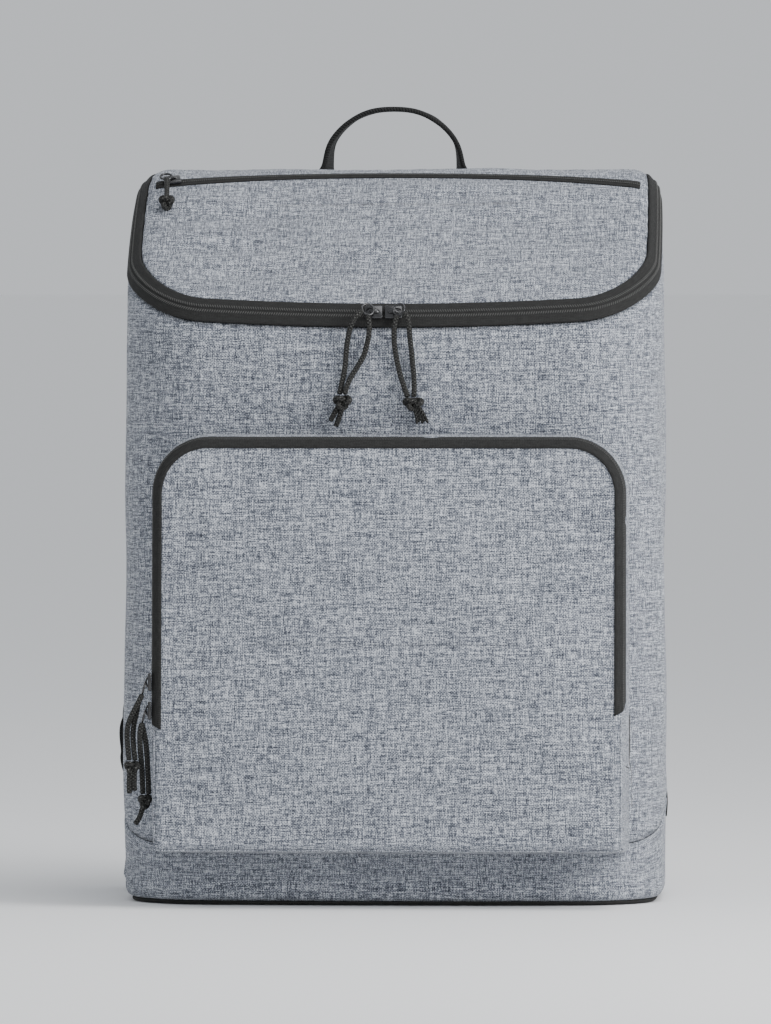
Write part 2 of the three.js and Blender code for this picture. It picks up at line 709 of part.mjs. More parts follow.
// Ladder-lock buckle between the padded strap and its webbing: a plain plate with two slots.
function strapBuckle() {
  const [w, h] = [buckleWidth / 2, buckleHeight / 2];
  const shape = new THREE.Shape(plan([[-w, -h], [w, -h], [w, h], [-w, h]]));
  const [slotHalf, slotHeight] = [webbingWidth / 2, buckleHeight * 0.2];
  for (const bottom of [-h + slotHeight * 0.9, h - slotHeight * 1.9]) {
    shape.holes.push(new THREE.Path([
      new THREE.Vector2(-slotHalf, bottom),
      new THREE.Vector2(-slotHalf, bottom + slotHeight),
      new THREE.Vector2(slotHalf, bottom + slotHeight),
      new THREE.Vector2(slotHalf, bottom),
    ]));
  }
  const geometry = new THREE.ExtrudeGeometry(shape, { depth: buckleThickness, bevelEnabled: false });
  return geometry.translate(0, 0, -buckleThickness / 2);
}

// Cloth wedge at each lower back corner, under the webbing. Rows go up from the ground.
const anchorRows = [
  { height: 0, reach: 0.8 },
  { height: 0.12, reach: 1 },
  { height: 0.45, reach: 0.88 },
  { height: 1, reach: 0.3 },
];

function strapAnchor({ side, anchorTurn, anchorReach }) {
  const anchorStation = firstOf(corners[1]) + anchorTurn;
  const sewn = [2, 1, 0, -1].map((k) => anchorStation + k);
  const { out } = rims[anchorStation];
  const rings = anchorRows.map(({ height, reach }) => {
    const seam = lerp(baseFillet, anchorHeight, height);
    const tipHeight = lerp(anchorGround, anchorHeight, height);
    const tip = planPoint(anchorStation, wallInset(seam));
    const ring = sewn.map((i) => {
      const { x, y } = planPoint(i, wallInset(seam) - seamGap);
      return vec(side * x, y, seam);
    });
    for (const sideways of [-anchorFold / 2, anchorFold / 2]) {
      const x = tip.x + out.x * anchorReach * reach - out.y * sideways;
      const y = tip.y + out.y * anchorReach * reach + out.x * sideways;
      ring.push(vec(side * x, y, tipHeight));
    }
    return ring;
  });
  return closedGeometry(strip(rings, rings[1].map((p) => [p.x, p.y])));
}

for (const strap of straps) {
  const { name, side } = strap;
  add(`shoulder_strap_${name}`, shoulderStrap(side), melange);
  add(`strap_webbing_${name}`, strapWebbing(strap), blackWebbing);
  add(`strap_anchor_${name}`, strapAnchor(strap), melange);
  const buckle = add(`strap_buckle_${name}`, strapBuckle(), blackPlastic);
  const { end, towards } = strapEnd(side);
  const up = towards.clone().negate();
  const out = vec(0, 1, 0).addScaledVector(up, -up.y).normalize();
  buckle.quaternion.setFromRotationMatrix(new THREE.Matrix4().makeBasis(up.clone().cross(out), up, out));
  buckle.position.copy(end).addScaledVector(towards, seamGap + buckleHeight / 2);
}

add('base_panel', basePanel(), melange);
add('base_piping', basePiping(), blackTape);
add('body_shell', bodyShell(), melange);
add('lid_panel', lidPanel(), melange);
add('lid_zip_tape', lidZipTape(), blackTape);
add('lid_pocket_zip_tape', lidPocketZipTape(), blackTape);
add('front_pocket', frontPocket(), melange);
add('front_pocket_zip_tape', frontPocketZipTape(), blackTape);
add('carry_handle', carryHandle(), blackWebbing);

// Zip pulls

// A slider seen from its side: +X along the zip, +Y away from the tape. A bridge stands on the plate and
// the ring passes under it.
function slider() {
  const foot = sliderLength / 2 - bridgeInset;
  const top = sliderPlate + bridgeHeight;
  const plate = new THREE.BoxGeometry(sliderLength, sliderPlate, sliderWidth);
  plate.translate(0, sliderPlate / 2, 0);
  const arch = new THREE.Shape(plan([
    [-foot, sliderPlate / 2], [foot, sliderPlate / 2], [foot - bridgeSlant, top], [-foot + bridgeSlant, top],
  ]));
  const [inside, under, sill] = [foot - bridgeWall, top - bridgeWall, sliderPlate + seamGap];
  arch.holes.push(new THREE.Path(plan([
    [-inside, sill], [-inside + bridgeSlant, under], [inside - bridgeSlant, under], [inside, sill],
  ])));
  const bridge = new THREE.ExtrudeGeometry(arch, { depth: bridgeWidth, bevelEnabled: false });
  bridge.translate(0, 0, -bridgeWidth / 2);
  return fromManifold(toManifold(plate).add(toManifold(bridge)));
}

// A wire ring through the bridge's hole, lying over one end of the slider (towards is 1 or -1) and
// lifted off it by an angle.
function wireRing(towards, lift) {
  const ring = new THREE.TorusGeometry(ringRadius, ringWire / 2, 5, 12);
  ring.rotateX(Math.PI / 2);
  ring.translate(towards * ringRadius, 0, 0);
  ring.rotateZ(towards * degToRad(lift));
  ring.translate(0, sliderPlate + (seamGap + bridgeHeight - bridgeWall) / 2, 0);
  ring.deleteAttribute('normal');
  ring.deleteAttribute('uv');
  return mergeVertices(ring, 1e-4);
}

// Where each slider sits on its tape, which way its zip runs and which end its ring lies over.
const coilTop = coilHeight + seamGap;
const frontStation = (x) => stations.map((_, i) => i).filter((i) => rims[i].out.y < -0.9)
  .reduce((best, i) => (Math.abs(rims[i].x - x) < Math.abs(rims[best].x - x) ? i : best), 0);

// The lid zip's surface at a given width, halfway across the tape.
function onLidZip(x) {
  const i = frontStation(x);
  const j = rims[i].x < x ? i + 1 : i - 1;
  const share = (x - rims[wrap(i)].x) / (rims[wrap(j)].x - rims[wrap(i)].x);
  const run = lidTapeWidth / 2;
  const point = skin(i, run, coilTop).lerp(skin(j, run, coilTop), share);
  const out = skin(i, run, 1).sub(skin(i, run, 0)).lerp(skin(j, run, 1).sub(skin(j, run, 0)), share);
  return { point, out, along: vec(1, 0, 0) };
}

function onLidPocketZip(x) {
  const { out } = onLid(x, lidPocketLine(x));
  const { point } = onLid(x, lidPocketLine(x), seamGap * 2 + lidPocketTapeThickness);
  const ahead = onLid(x + 1, lidPocketLine(x + 1)).point;
  return { point, out, along: ahead.sub(onLid(x, lidPocketLine(x)).point) };
}

// The pocket zip's surface on the left side, at a given height.
function onPocketZip(z) {
  const station = { at: (inset) => ({ x: pocketArc(pocketCorners[3], 180, inset).x, z }) };
  const lift = seamGap * 2 + tapeThickness;
  const point = pocketSkin(station, pocketSliderSeat, lift);
  const out = pocketSkin(station, pocketSliderSeat, lift + 1).sub(point);
  return { point, out, along: vec(0, 0, 1) };
}

const pulls = [
  { name: 'main_left', seat: onLidZip(-9), towards: -1, lift: 20 },
  { name: 'main_right', seat: onLidZip(2), towards: 1, lift: 20 },
  { name: 'lid_pocket', seat: onLidPocketZip(-129), towards: -1, lift: 0 },
  { name: 'pocket_upper', seat: onPocketZip(127), towards: -1, lift: 15 },
  { name: 'pocket_lower', seat: onPocketZip(111), towards: -1, lift: 15 },
];

for (const { name, seat, towards, lift } of pulls) {
  const out = seat.out.clone().normalize();
  const along = seat.along.clone().addScaledVector(out, -seat.along.dot(out)).normalize();
  const pull = new THREE.Group();
  pull.position.copy(seat.point);
  pull.quaternion.setFromRotationMatrix(new THREE.Matrix4().makeBasis(along, out, along.clone().cross(out)));
  add(`slider_${name}`, slider(), darkMetal, pull);
  add(`pull_ring_${name}`, wireRing(towards, lift), darkMetal, pull);
  group.add(pull);
}

// Pull cords. Each loop of cord is two legs from its ring down to a knot. The points are chosen by hand.
const cordRoutes = {
  cord_main_left_a: [
    [-15.6, -94.6, 333.8], [-18.6, -96.9, 331.5], [-20.9, -97, 327.1], [-22.6, -95.5, 322.1],
    [-24.1, -93.6, 313.1], [-25, -93, 303.1], [-26.6, -93.6, 294.1], [-27.9, -95.2, 288.1],
  ],
  cord_main_left_b: [
    [-12.1, -94.5, 331.2], [-11.3, -96, 326.3], [-11.5, -95.8, 320.5], [-12.8, -94.3, 314.8],
    [-14.5, -93.6, 309.1], [-18.5, -93.6, 302.1], [-22.1, -94.9, 296.1], [-24.2, -96.4, 290.6],
    [-24.8, -96.8, 288],
  ],
  cord_main_right_a: [
    [4, -94.2, 331.2], [2.9, -95.7, 326.3], [2.6, -95.4, 321], [2.8, -94.2, 315.1], [4, -93.2, 307.1],
    [6.1, -93.6, 298.1], [8.6, -95.2, 290.6], [10.2, -96.2, 286.4],
  ],
  cord_main_right_b: [
    [8.4, -94.9, 332.9], [10.3, -96.9, 330.2], [11.1, -96.8, 324.1], [11.6, -94.8, 318.1],
    [12.6, -93.2, 308.1], [13.6, -93.2, 298.1], [13.9, -94.6, 290.6], [13.7, -95.6, 286.6],
  ],
  cord_pocket_upper_a: [
    [-137.6, -119.5, 119.4], [-139.7, -119.6, 115], [-142.6, -118.6, 109.5], [-144.9, -117.4, 104],
    [-145.9, -116.4, 98.5], [-145.7, -116, 92], [-144.8, -116, 83.6],
  ],
  cord_pocket_upper_b: [
    [-137.6, -116.1, 119.4], [-139.6, -116.1, 115], [-140.6, -115.9, 109.5], [-141.9, -115.9, 104],
    [-142.6, -116, 98.5], [-142.4, -116, 92], [-141.5, -116, 83.5],
  ],
  cord_pocket_lower_a: [
    [-137.6, -120.6, 103.4], [-138.4, -119.8, 98.5], [-138.6, -117, 91.5], [-137.9, -112.8, 79],
    [-137.4, -112.4, 64.5],
  ],
  cord_pocket_lower_b: [
    [-137.6, -117.1, 103.4], [-136.4, -116.9, 98.5], [-135.3, -115.6, 91.5], [-134.6, -113, 79],
    [-134.1, -112.4, 64.4],
  ],
};

// Knots: where each one lies, its half sizes, and the two tails that hang out of it.
const knots = {
  knot_main_left: {
    centre: [-26.3, -96.2, 283.2], half: [5.4, 4.6, 4.4],
    tails: [[[-28.5, -95.2, 281], [-31, -94, 276.5], [-32.9, -93.6, 273]],
      [[-26.5, -95.2, 280], [-28.2, -94.2, 274.5], [-29.9, -93.8, 270]]],
  },
  knot_main_right: {
    centre: [13.4, -96.2, 282.3], half: [6, 4.6, 4],
    tails: [[[14, -95.4, 280], [16, -94.2, 274.5], [16.6, -93.8, 271.3]],
      [[16, -95.4, 280], [19, -94.4, 275], [20.3, -94, 271.6]]],
  },
  knot_pocket_upper: {
    centre: [-143.2, -116, 79], half: [4.5, 4.2, 4.3],
    tails: [[[-144.4, -116, 77], [-144.7, -116, 70], [-144.6, -116, 65]],
      [[-141.8, -116, 77], [-142, -116, 71], [-141.8, -116, 66.5]]],
  },
  knot_pocket_lower: {
    centre: [-136.2, -112.4, 60], half: [4.1, 4.1, 4.4],
    tails: [[[-137.1, -112.4, 57.5], [-139.2, -112.4, 51], [-141.4, -112.4, 47.5]]],
  },
};

function cord(points) {
  const route = new THREE.CatmullRomCurve3(points.map((p) => vec(...p)), false, 'centripetal');
  const section = new THREE.Shape();
  const sides = 8;
  for (let k = 0; k < sides; k += 1) {
    const angle = 2 * Math.PI * k / sides;
    const [x, y] = [cordDiameter / 2 * Math.cos(angle), cordDiameter / 2 * Math.sin(angle)];
    if (k === 0) section.moveTo(x, y);
    else section.lineTo(x, y);
  }
  const steps = Math.ceil(route.getLength() / (2 * cordDiameter));
  return new THREE.ExtrudeGeometry(section, { steps, bevelEnabled: false, extrudePath: route });
}

function knot(centre, half, tails) {
  const body = new THREE.SphereGeometry(1, 10, 6).scale(...half).translate(...centre);
  return fromManifold(tails.reduce((solid, tail) => solid.add(toManifold(cord(tail))), toManifold(body)));
}

for (const [name, points] of Object.entries(cordRoutes)) add(name, cord(points), blackCord);
for (const [name, { centre, half, tails }] of Object.entries(knots)) {
  add(name, knot(centre, half, tails), blackCord);
}

// The lid pocket's pull is short: a knot with a stub of its loop, from the ring to the knot.
const lidStubRows = [{ x: -131.5, y: 14.4, lift: 5 }, { x: -131.2, y: 7.8, lift: 5.3 }];
const lidKnotCentre = onLid(lidKnot.x, lidKnot.y, lidKnot.radius + lidKnot.clearance).point;
const lidStub = [...lidStubRows.map(({ x, y, lift }) => onLid(x, y, lift).point.toArray()),
  lidKnotCentre.toArray()];
const lidKnotHalf = [lidKnot.radius, lidKnot.radius, lidKnot.radius];
add('knot_lid_pocket', knot(lidKnotCentre.toArray(), lidKnotHalf, [lidStub]), blackCord);

export default group;
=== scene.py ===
# A cooler backpack, put together as it is sewn: base, walls, lid, zips, front pocket, straps and pulls.
# Lengths are millimetres until a mesh is made. The front faces -Y and the bag stands on Z = 0.
import math

import bmesh
import bpy
import numpy as np
from mathutils import Matrix, Vector, noise


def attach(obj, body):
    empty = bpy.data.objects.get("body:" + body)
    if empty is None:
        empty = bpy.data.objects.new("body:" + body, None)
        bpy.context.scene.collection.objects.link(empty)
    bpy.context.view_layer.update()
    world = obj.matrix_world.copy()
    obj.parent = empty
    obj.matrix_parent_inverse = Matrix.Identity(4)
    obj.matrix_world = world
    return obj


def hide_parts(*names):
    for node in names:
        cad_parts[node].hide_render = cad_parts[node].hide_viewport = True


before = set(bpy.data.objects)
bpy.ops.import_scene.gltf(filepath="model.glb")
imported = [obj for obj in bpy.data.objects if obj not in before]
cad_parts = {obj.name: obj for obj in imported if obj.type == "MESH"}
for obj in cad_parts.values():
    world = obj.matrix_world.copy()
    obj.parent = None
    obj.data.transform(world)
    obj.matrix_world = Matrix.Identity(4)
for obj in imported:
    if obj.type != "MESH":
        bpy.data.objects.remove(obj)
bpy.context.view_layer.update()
bpy.ops.object.select_all(action="DESELECT")

# Camera
# A long lens 6 m in front of the bag, a little to its right and a little above its middle.
look_at = Vector((-0.0046, -0.040, 0.2201))
camera_angle = (math.radians(2.5), math.radians(1.5))
camera_distance = 6.0
focal_length_pixels, photo_height_pixels, film_size = 10610, 1024, 36
towards_camera = Vector((math.sin(camera_angle[0]) * math.cos(camera_angle[1]),
                         -math.cos(camera_angle[0]) * math.cos(camera_angle[1]),
                         math.sin(camera_angle[1])))
bpy.ops.object.camera_add(location=look_at + towards_camera * camera_distance,
                          rotation=towards_camera.to_track_quat("Z", "Y").to_euler())
camera = bpy.context.object
camera.data.lens = focal_length_pixels * film_size / photo_height_pixels
camera.data.sensor_width = film_size
bpy.context.scene.camera = camera

# Base panel
# One piece of melange cloth over foam: the flat bottom, the rounded edge and a low wall up to the seam.
# The outline of the bag is drawn here, because the base is the pattern that every wall is cut to.
half_width, half_depth, body_height = 150.0, 82.5, 416.0
side_belly, front_belly, side_tuck = 4.0, 9.0, 4.0
base_fillet, seam_gap = 14.0, 0.3
base_seam_front, base_seam_back = 34.0, 56.0
outline_spacing = 3.6
outline_corners = [(1, -1, 45.0, -90), (1, 1, 22.0, 0), (-1, 1, 22.0, 90), (-1, -1, 45.0, 180)]


def outline_stations():
    """Places round the outline: two corners, with radius and turn, and the share of the way between."""
    rows = []
    for k, (sx, sy, radius, turn) in enumerate(outline_corners):
        nx, ny, next_radius, next_turn = outline_corners[(k + 1) % 4]
        steps = round(radius * math.pi / 2 / outline_spacing)
        for i in range(steps + 1):
            rows.append((sx, sy, radius, turn + 90 * i / steps, nx, ny, next_radius, next_turn, 0))
        length = 2 * (half_width if sx != nx else half_depth) - radius - next_radius
        steps = round(length / outline_spacing)
        for i in range(1, steps):
            rows.append((sx, sy, radius, turn + 90, nx, ny, next_radius, next_turn, i / steps))
    return np.array(rows, float)


stations = outline_stations()
count = len(stations)


def arc_point(sx, sy, radius, turn, inset):
    shrunk = np.maximum(radius - inset, 0.5)
    return (sx * (half_width - radius) + shrunk * np.cos(np.radians(turn)),
            sy * (half_depth - radius) + shrunk * np.sin(np.radians(turn)))


def plan(inset=0.0):
    """The outline from above, drawn in by an inset, with the swell of the sides and the front."""
    sx, sy, radius, turn, nx, ny, next_radius, next_turn, share = stations.T
    ax, ay = arc_point(sx, sy, radius, turn, inset)
    bx, by = arc_point(nx, ny, next_radius, next_turn, inset)
    x, y = ax + (bx - ax) * share, ay + (by - ay) * share
    side = 1 - (y / half_depth) ** 2
    front = np.where(y < 0, (1 - (x / half_width) ** 2) * (-y / half_depth), 0)
    return x * (1 + side_belly * side / half_width), y - front_belly * front


def wall_inset(z):
    """How far the walls draw in at a height: tucked in towards the lid, rounded at the base."""
    tuck = side_tuck * np.interp(np.asarray(z) / body_height, [0, 0.15, 0.55, 0.75, 0.9, 1],
                                 [0.3, 0, 0.05, 0.35, 0.8, 1])
    under = np.clip(1 - np.asarray(z) / base_fillet, 0, 1)
    return tuck + base_fillet * (1 - np.sqrt(1 - under ** 2))


def wall_row(z, inward=0.0):
    """One row of points round the wall, at one height or at a height for each station."""
    z = np.broadcast_to(np.asarray(z, float), (count,))
    x, y = plan(wall_inset(z) + inward)
    return np.stack([x, y, z], axis=1)


def smooth(value, low, high):
    share = np.clip((value - low) / (high - low), 0, 1)
    return share * share * (3 - 2 * share)


def run_along(points):
    """How far along a line each of its points is."""
    return np.concatenate([[0], np.cumsum(np.linalg.norm(np.diff(points, axis=0), axis=1))])


def run_round(points):
    """The same for a closed line, up to the first point again."""
    return run_along(np.concatenate([points, points[:1]]))


def unit(vectors):
    return vectors / np.linalg.norm(vectors, axis=-1, keepdims=True)


def cloth_uv(along, across):
    """The place on the cloth of each point in a grid of rows, from its two distances."""
    return np.stack(np.broadcast_arrays(along, across), axis=2)


seam_height = base_seam_front + (base_seam_back - base_seam_front) * smooth(plan()[1], -half_depth, 0)
round_outline = np.stack(plan(), axis=1)
outline_run = run_round(round_outline)


def cloth_panel(name, rows, uv, closed=True):
    """Sews rows of points, in millimetres, into one mesh. uv gives metres along and across the cloth."""
    rows, uv = np.asarray(rows, float), np.asarray(uv, float)
    height, width = rows.shape[:2]
    steps = width if closed else width - 1
    faces, corner_uv = [], []
    for r in range(height - 1):
        for c in range(steps):
            d = (c + 1) % width
            faces.append((r * width + c, r * width + d, (r + 1) * width + d, (r + 1) * width + c))
            corner_uv += [uv[r, c], uv[r, c + 1], uv[r + 1, c + 1], uv[r + 1, c]]
    mesh = bpy.data.meshes.new(name)
    mesh.from_pydata((rows.reshape(-1, 3) / 1000).tolist(), [], faces)
    layer = mesh.uv_layers.new(name="cloth")
    layer.data.foreach_set("uv", (np.array(corner_uv) / 1000).astype(np.float32).ravel())
    piece = bpy.data.objects.new(name, mesh)
    bpy.context.scene.collection.objects.link(piece)
    return piece


def in_edit(piece, *steps):
    """Runs edit-mode operators, each (operator, settings), on the whole piece."""
    bpy.ops.object.select_all(action="DESELECT")
    piece.select_set(True)
    bpy.context.view_layer.objects.active = piece
    bpy.ops.object.mode_set(mode="EDIT")
    bpy.ops.mesh.select_all(action="SELECT")
    for operator, settings in steps:
        operator(**settings)
    bpy.ops.object.mode_set(mode="OBJECT")
    piece.select_set(False)


def modify(piece, kind, **settings):
    """Adds a modifier and applies it."""
    bpy.ops.object.select_all(action="DESELECT")
    piece.select_set(True)
    bpy.context.view_layer.objects.active = piece
    modifier = piece.modifiers.new(kind.title(), kind)
    for key, value in settings.items():
        setattr(modifier, key, value)
    bpy.ops.object.modifier_apply(modifier=modifier.name)
    piece.select_set(False)


def finish_piece(piece, material, slot, *nodes):
    """Smooth shading, the material, and the CAD nodes that the piece stands for."""
    piece.data.materials.clear()
    piece.data.materials.append(material)
    for polygon in piece.data.polygons:
        polygon.use_smooth = True
    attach(piece, "root")
    if nodes:
        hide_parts(*nodes)


def billow(points, depth, size, seed):
    """Soft random swells, in millimetres, one for each point."""
    shift = Vector((seed * 17.3, seed * 5.1, seed * 11.7))
    flat = points.reshape(-1, 3)
    swell = [noise.noise(Vector(p) / size + shift) for p in flat]
    return depth * np.array(swell).reshape(points.shape[:-1])


def outward(rows, closed=True):
    """Unit normals of a grid of rows, facing out of the bag."""
    if closed:
        along = np.roll(rows, -1, axis=1) - np.roll(rows, 1, axis=1)
    else:
        along = np.gradient(rows, axis=1)
    up = np.gradient(rows, axis=0)
    normal = np.cross(along, up)
    return normal / np.maximum(np.linalg.norm(normal, axis=2, keepdims=True), 1e-9)


class Shade:
    """A socket of a material's nodes that can be used in sums and products."""

    def __init__(self, tree, socket):
        self.tree = tree
        self.socket = socket

    def node(self, kind, settings=None, inputs=None, output=0):
        made = self.tree.nodes.new(kind)
        for key, value in (settings or {}).items():
            if key == "stops":
                ramp = made.color_ramp
                while len(ramp.elements) < len(value):
                    ramp.elements.new(0.5)
                for element, (place, colour) in zip(ramp.elements, value):
                    element.position = place
                    element.color = (*colour, 1)
            else:
                setattr(made, key, value)
        for key, value in (inputs or {}).items():
            if isinstance(value, Shade):
                self.tree.links.new(value.socket, made.inputs[key])
            else:
                made.inputs[key].default_value = value
        return Shade(self.tree, made.outputs[output])

    def math(self, operation, *values, clamp=False):
        inputs = dict(enumerate((self, *values)))
        return self.node("ShaderNodeMath", {"operation": operation, "use_clamp": clamp}, inputs)

    def __add__(self, other):
        return self.math("ADD", other)

    __radd__ = __add__

    def __mul__(self, other):
        return self.math("MULTIPLY", other)

    __rmul__ = __mul__

    def __sub__(self, other):
        return self.math("SUBTRACT", other)

    def __rsub__(self, other):
        return self * -1 + other

    def mix(self, dark, light):
        """This value as the factor between two colours."""
        return self.node("ShaderNodeMix", {"data_type": "RGBA"}, {0: self, 6: dark, 7: light}, 2)


def new_material(name):
    """A material with its Principled shader and a Shade to build from."""
    material = bpy.data.materials.new(name)
    material.use_nodes = True
    shader = material.node_tree.nodes["Principled BSDF"]
    return material, shader, Shade(material.node_tree, None)


def plug(shader, shade, name):
    shader.id_data.links.new(shade.socket, shader.inputs[name])


def bumped(shader, shade, height, distance, strength=1.0):
    """Sends a height through a Bump node to the shader's normal."""
    plug(shader, shade.node("ShaderNodeBump", None, {"Height": height, "Distance": distance,
                                                     "Strength": strength}), "Normal")


def cloth_axes(shade):
    """The cloth's own UV map, and its two directions apart."""
    uv = shade.node("ShaderNodeUVMap", {"uv_map": "cloth"})
    along = shade.node("ShaderNodeSeparateXYZ", None, {"Vector": uv})
    return uv, along, Shade(shade.tree, along.socket.node.outputs[1])


def melange_cloth(name, pale, dark, bright):
    """Plain weave of unevenly dyed yarns. Each yarn keeps its shade for a few centimetres."""
    material, shader, shade = new_material(name)
    uv, column, row = cloth_axes(shade)
    yarn = 2 * math.pi / weave_pitch

    def yarns(scale, detail):
        place = shade.node("ShaderNodeMapping", None, {"Vector": uv, "Scale": scale})
        return shade.node("ShaderNodeTexNoise", {"noise_dimensions": "2D"},
                          {"Vector": place, "Scale": 1.0, "Detail": detail, "Roughness": 0.6})

    across = yarns((150, 1500, 1), 2.0)
    along = yarns((1500, 170, 1), 2.0)
    fine = yarns((1250, 1300, 1), 2.0)
    slub = yarns((24, 620, 1), 2.0)
    warp = yarns((620, 30, 1), 2.0)
    weave = (column * yarn).math("SINE") * (row * yarn).math("SINE")
    tone = across * 0.9 + along * 0.85 + fine * 1.1 + slub * 0.4 + warp * 0.3 + weave * 0.1 - 1.275
    stops = [(0.16, dark), (0.5, pale), (0.84, bright)]
    colour = tone.node("ShaderNodeValToRGB", {"stops": stops}, {0: tone})
    plug(shader, colour, "Base Color")
    bumped(shader, shade, across * 0.5 + along * 0.5 + weave * 0.4, 0.00022, 0.55)
    shader.inputs["Roughness"].default_value = 0.92
    shader.inputs["Specular IOR Level"].default_value = 0.2
    shader.inputs["Sheen Weight"].default_value = 0.12
    shader.inputs["Sheen Roughness"].default_value = 0.5
    return material


weave_pitch = 0.00165
pale_yarn, dark_yarn, bright_yarn = (0.195, 0.211, 0.247), (0.040, 0.045, 0.060), (0.66, 0.69, 0.74)
melange = melange_cloth("melange_cloth", pale_yarn, dark_yarn, bright_yarn)

turned_in, panel_thickness = 1.3, 0.004
base_profile = [(0, 14), (0.3, 11.1), (1.2, 8.3), (2.2, 5.6), (2.9, 3.8), (3.3, 2.7), (4.1, 1.6),
                (5.4, 0.8), (7.5, 0.2), (10.5, 0), (base_fillet, 0)]
base_rows = [wall_row(z, inset + float(wall_inset(base_fillet) - wall_inset(z)))
             for z, inset in base_profile]
for share in np.linspace(0, 1, 7)[1:]:
    base_rows.append(wall_row(base_fillet + (seam_height - 1.2 - base_fillet) * share))
base_rows.append(wall_row(seam_height - 0.5, 0.35))
base_rows.append(wall_row(seam_height - 0.15, turned_in))
base_rows = np.array(base_rows)
swell = (billow(base_rows, 0.9, 46, 1) - 0.5) * smooth(base_rows[:, :, 2], 6, 22)
base_rows += outward(base_rows) * np.where(base_rows[:, :, 2] < seam_height - 2, swell, 0)[:, :, None]


def mean_run(rows):
    """How far each row of a grid is from the first, on average."""
    return np.concatenate([[0], np.cumsum(np.linalg.norm(np.diff(rows, axis=0), axis=2).mean(axis=1))])


base_uv = cloth_uv(outline_run[None, :], mean_run(base_rows)[:, None])
base_panel = cloth_panel("base_panel_cloth", base_rows, base_uv)
flat_bottom = bmesh.new()
flat_bottom.from_mesh(base_panel.data)
lowest = [e for e in flat_bottom.edges if e.is_boundary and max(v.co.z for v in e.verts) < 1e-5]
bmesh.ops.triangle_fill(flat_bottom, use_beauty=True, edges=lowest)
layer = flat_bottom.loops.layers.uv["cloth"]
for face in flat_bottom.faces:
    if all(v.co.z < 1e-5 for v in face.verts):
        for loop in face.loops:
            loop[layer].uv = loop.vert.co.xy
bmesh.ops.recalc_face_normals(flat_bottom, faces=flat_bottom.faces)
flat_bottom.to_mesh(base_panel.data)
flat_bottom.free()
modify(base_panel, "SOLIDIFY", thickness=panel_thickness, offset=-1)
finish_piece(base_panel, melange, "melange_fabric", "base_panel")

# Base piping
# A black bound cord sewn round the foot of the bag, just above the ground.
piping_radius, piping_lift, piping_lean = 1.2, 1.0, math.radians(35)


def black_cloth(name, colour, rib, depth):
    """Tightly woven black polyester tape. rib is the pitch of its cross ribs in metres."""
    material, shader, shade = new_material(name)
    uv, along, across = cloth_axes(shade)
    waver = (across * (2 * math.pi / (rib * 2.2))).math("SINE") * 1.2
    ribs = (along * (2 * math.pi / rib) + waver).math("SINE")
    place = shade.node("ShaderNodeMapping", None, {"Vector": uv, "Scale": (260, 1500, 1)})
    fuzz = shade.node("ShaderNodeTexNoise", {"noise_dimensions": "2D"},
                      {"Vector": place, "Scale": 1.0, "Detail": 3.0})
    tone = ribs * 0.22 + fuzz * 1.1 - 0.05
    worn, dyed = ((*[c * share for c in colour], 1) for share in (1.75, 0.62))
    plug(shader, tone.mix(dyed, worn), "Base Color")
    bumped(shader, shade, ribs * 0.5 + fuzz * 0.6, depth, 0.8)
    shader.inputs["Roughness"].default_value = 0.82
    shader.inputs["Specular IOR Level"].default_value = 0.22
    shader.inputs["Sheen Weight"].default_value = 0.02
    return material


zip_cloth = black_cloth("zip_cloth", (0.019, 0.019, 0.0185), 0.0009, 0.00015)
rim_out = np.roll(round_outline, -1, axis=0) - np.roll(round_outline, 1, axis=0)
rim_out = unit(np.stack([rim_out[:, 1], -rim_out[:, 0], np.zeros(count)], axis=1))
piping_middle = wall_row(piping_radius + seam_gap + piping_lift)
piping_middle += rim_out * (piping_radius + seam_gap) * math.cos(piping_lean)
piping_middle[:, 2] -= (piping_radius + seam_gap) * math.sin(piping_lean)
turns = np.linspace(0, 2 * math.pi, 11)
piping_rows = np.array([piping_middle + rim_out * piping_radius * math.cos(a)
                        + np.array([0, 0, piping_radius * math.sin(a)]) for a in turns])
piping_uv = cloth_uv(outline_run[None, :], (turns * piping_radius)[:, None])
base_piping = cloth_panel("base_piping_cord", piping_rows, piping_uv)
in_edit(base_piping, (bpy.ops.mesh.remove_doubles, {"threshold": 1e-6}),
        (bpy.ops.mesh.normals_make_consistent, {}))
finish_piece(base_piping, zip_cloth, "zip_tape", "base_piping")

# Lid surface
# The lid is a slope that bends into a flat top, with rounded edges. The walls' top edge, the zip and the
# lid panel are all cut to it.
lid_front, lid_slope, lid_crown, lid_bend, lid_edge = 332.0, 0.7, 0.03, 5.0, 16.0
tape_width = 16.0
front_line = -(half_depth + front_belly)


def lid_plane(y):
    slope = lid_front + lid_slope * (y - front_line)
    crown = body_height + lid_crown * (y - half_depth)
    return (slope + crown) / 2 - np.hypot((slope - crown) / 2, lid_bend)


def lid_pitch(y):
    return lid_plane(y + 0.5) - lid_plane(y - 0.5)


rim_z = np.full(count, lid_front)
for _ in range(4):
    rim_x, rim_y = plan(wall_inset(rim_z))
    pitch = np.arctan(-rim_out[:, 1] * lid_pitch(rim_y))
    tangent_run = lid_edge * (1 - np.sin(pitch))
    rim_z = lid_plane(rim_y - rim_out[:, 1] * tangent_run) - lid_edge * np.cos(pitch)
round_length = lid_edge * (math.pi / 2 - pitch)


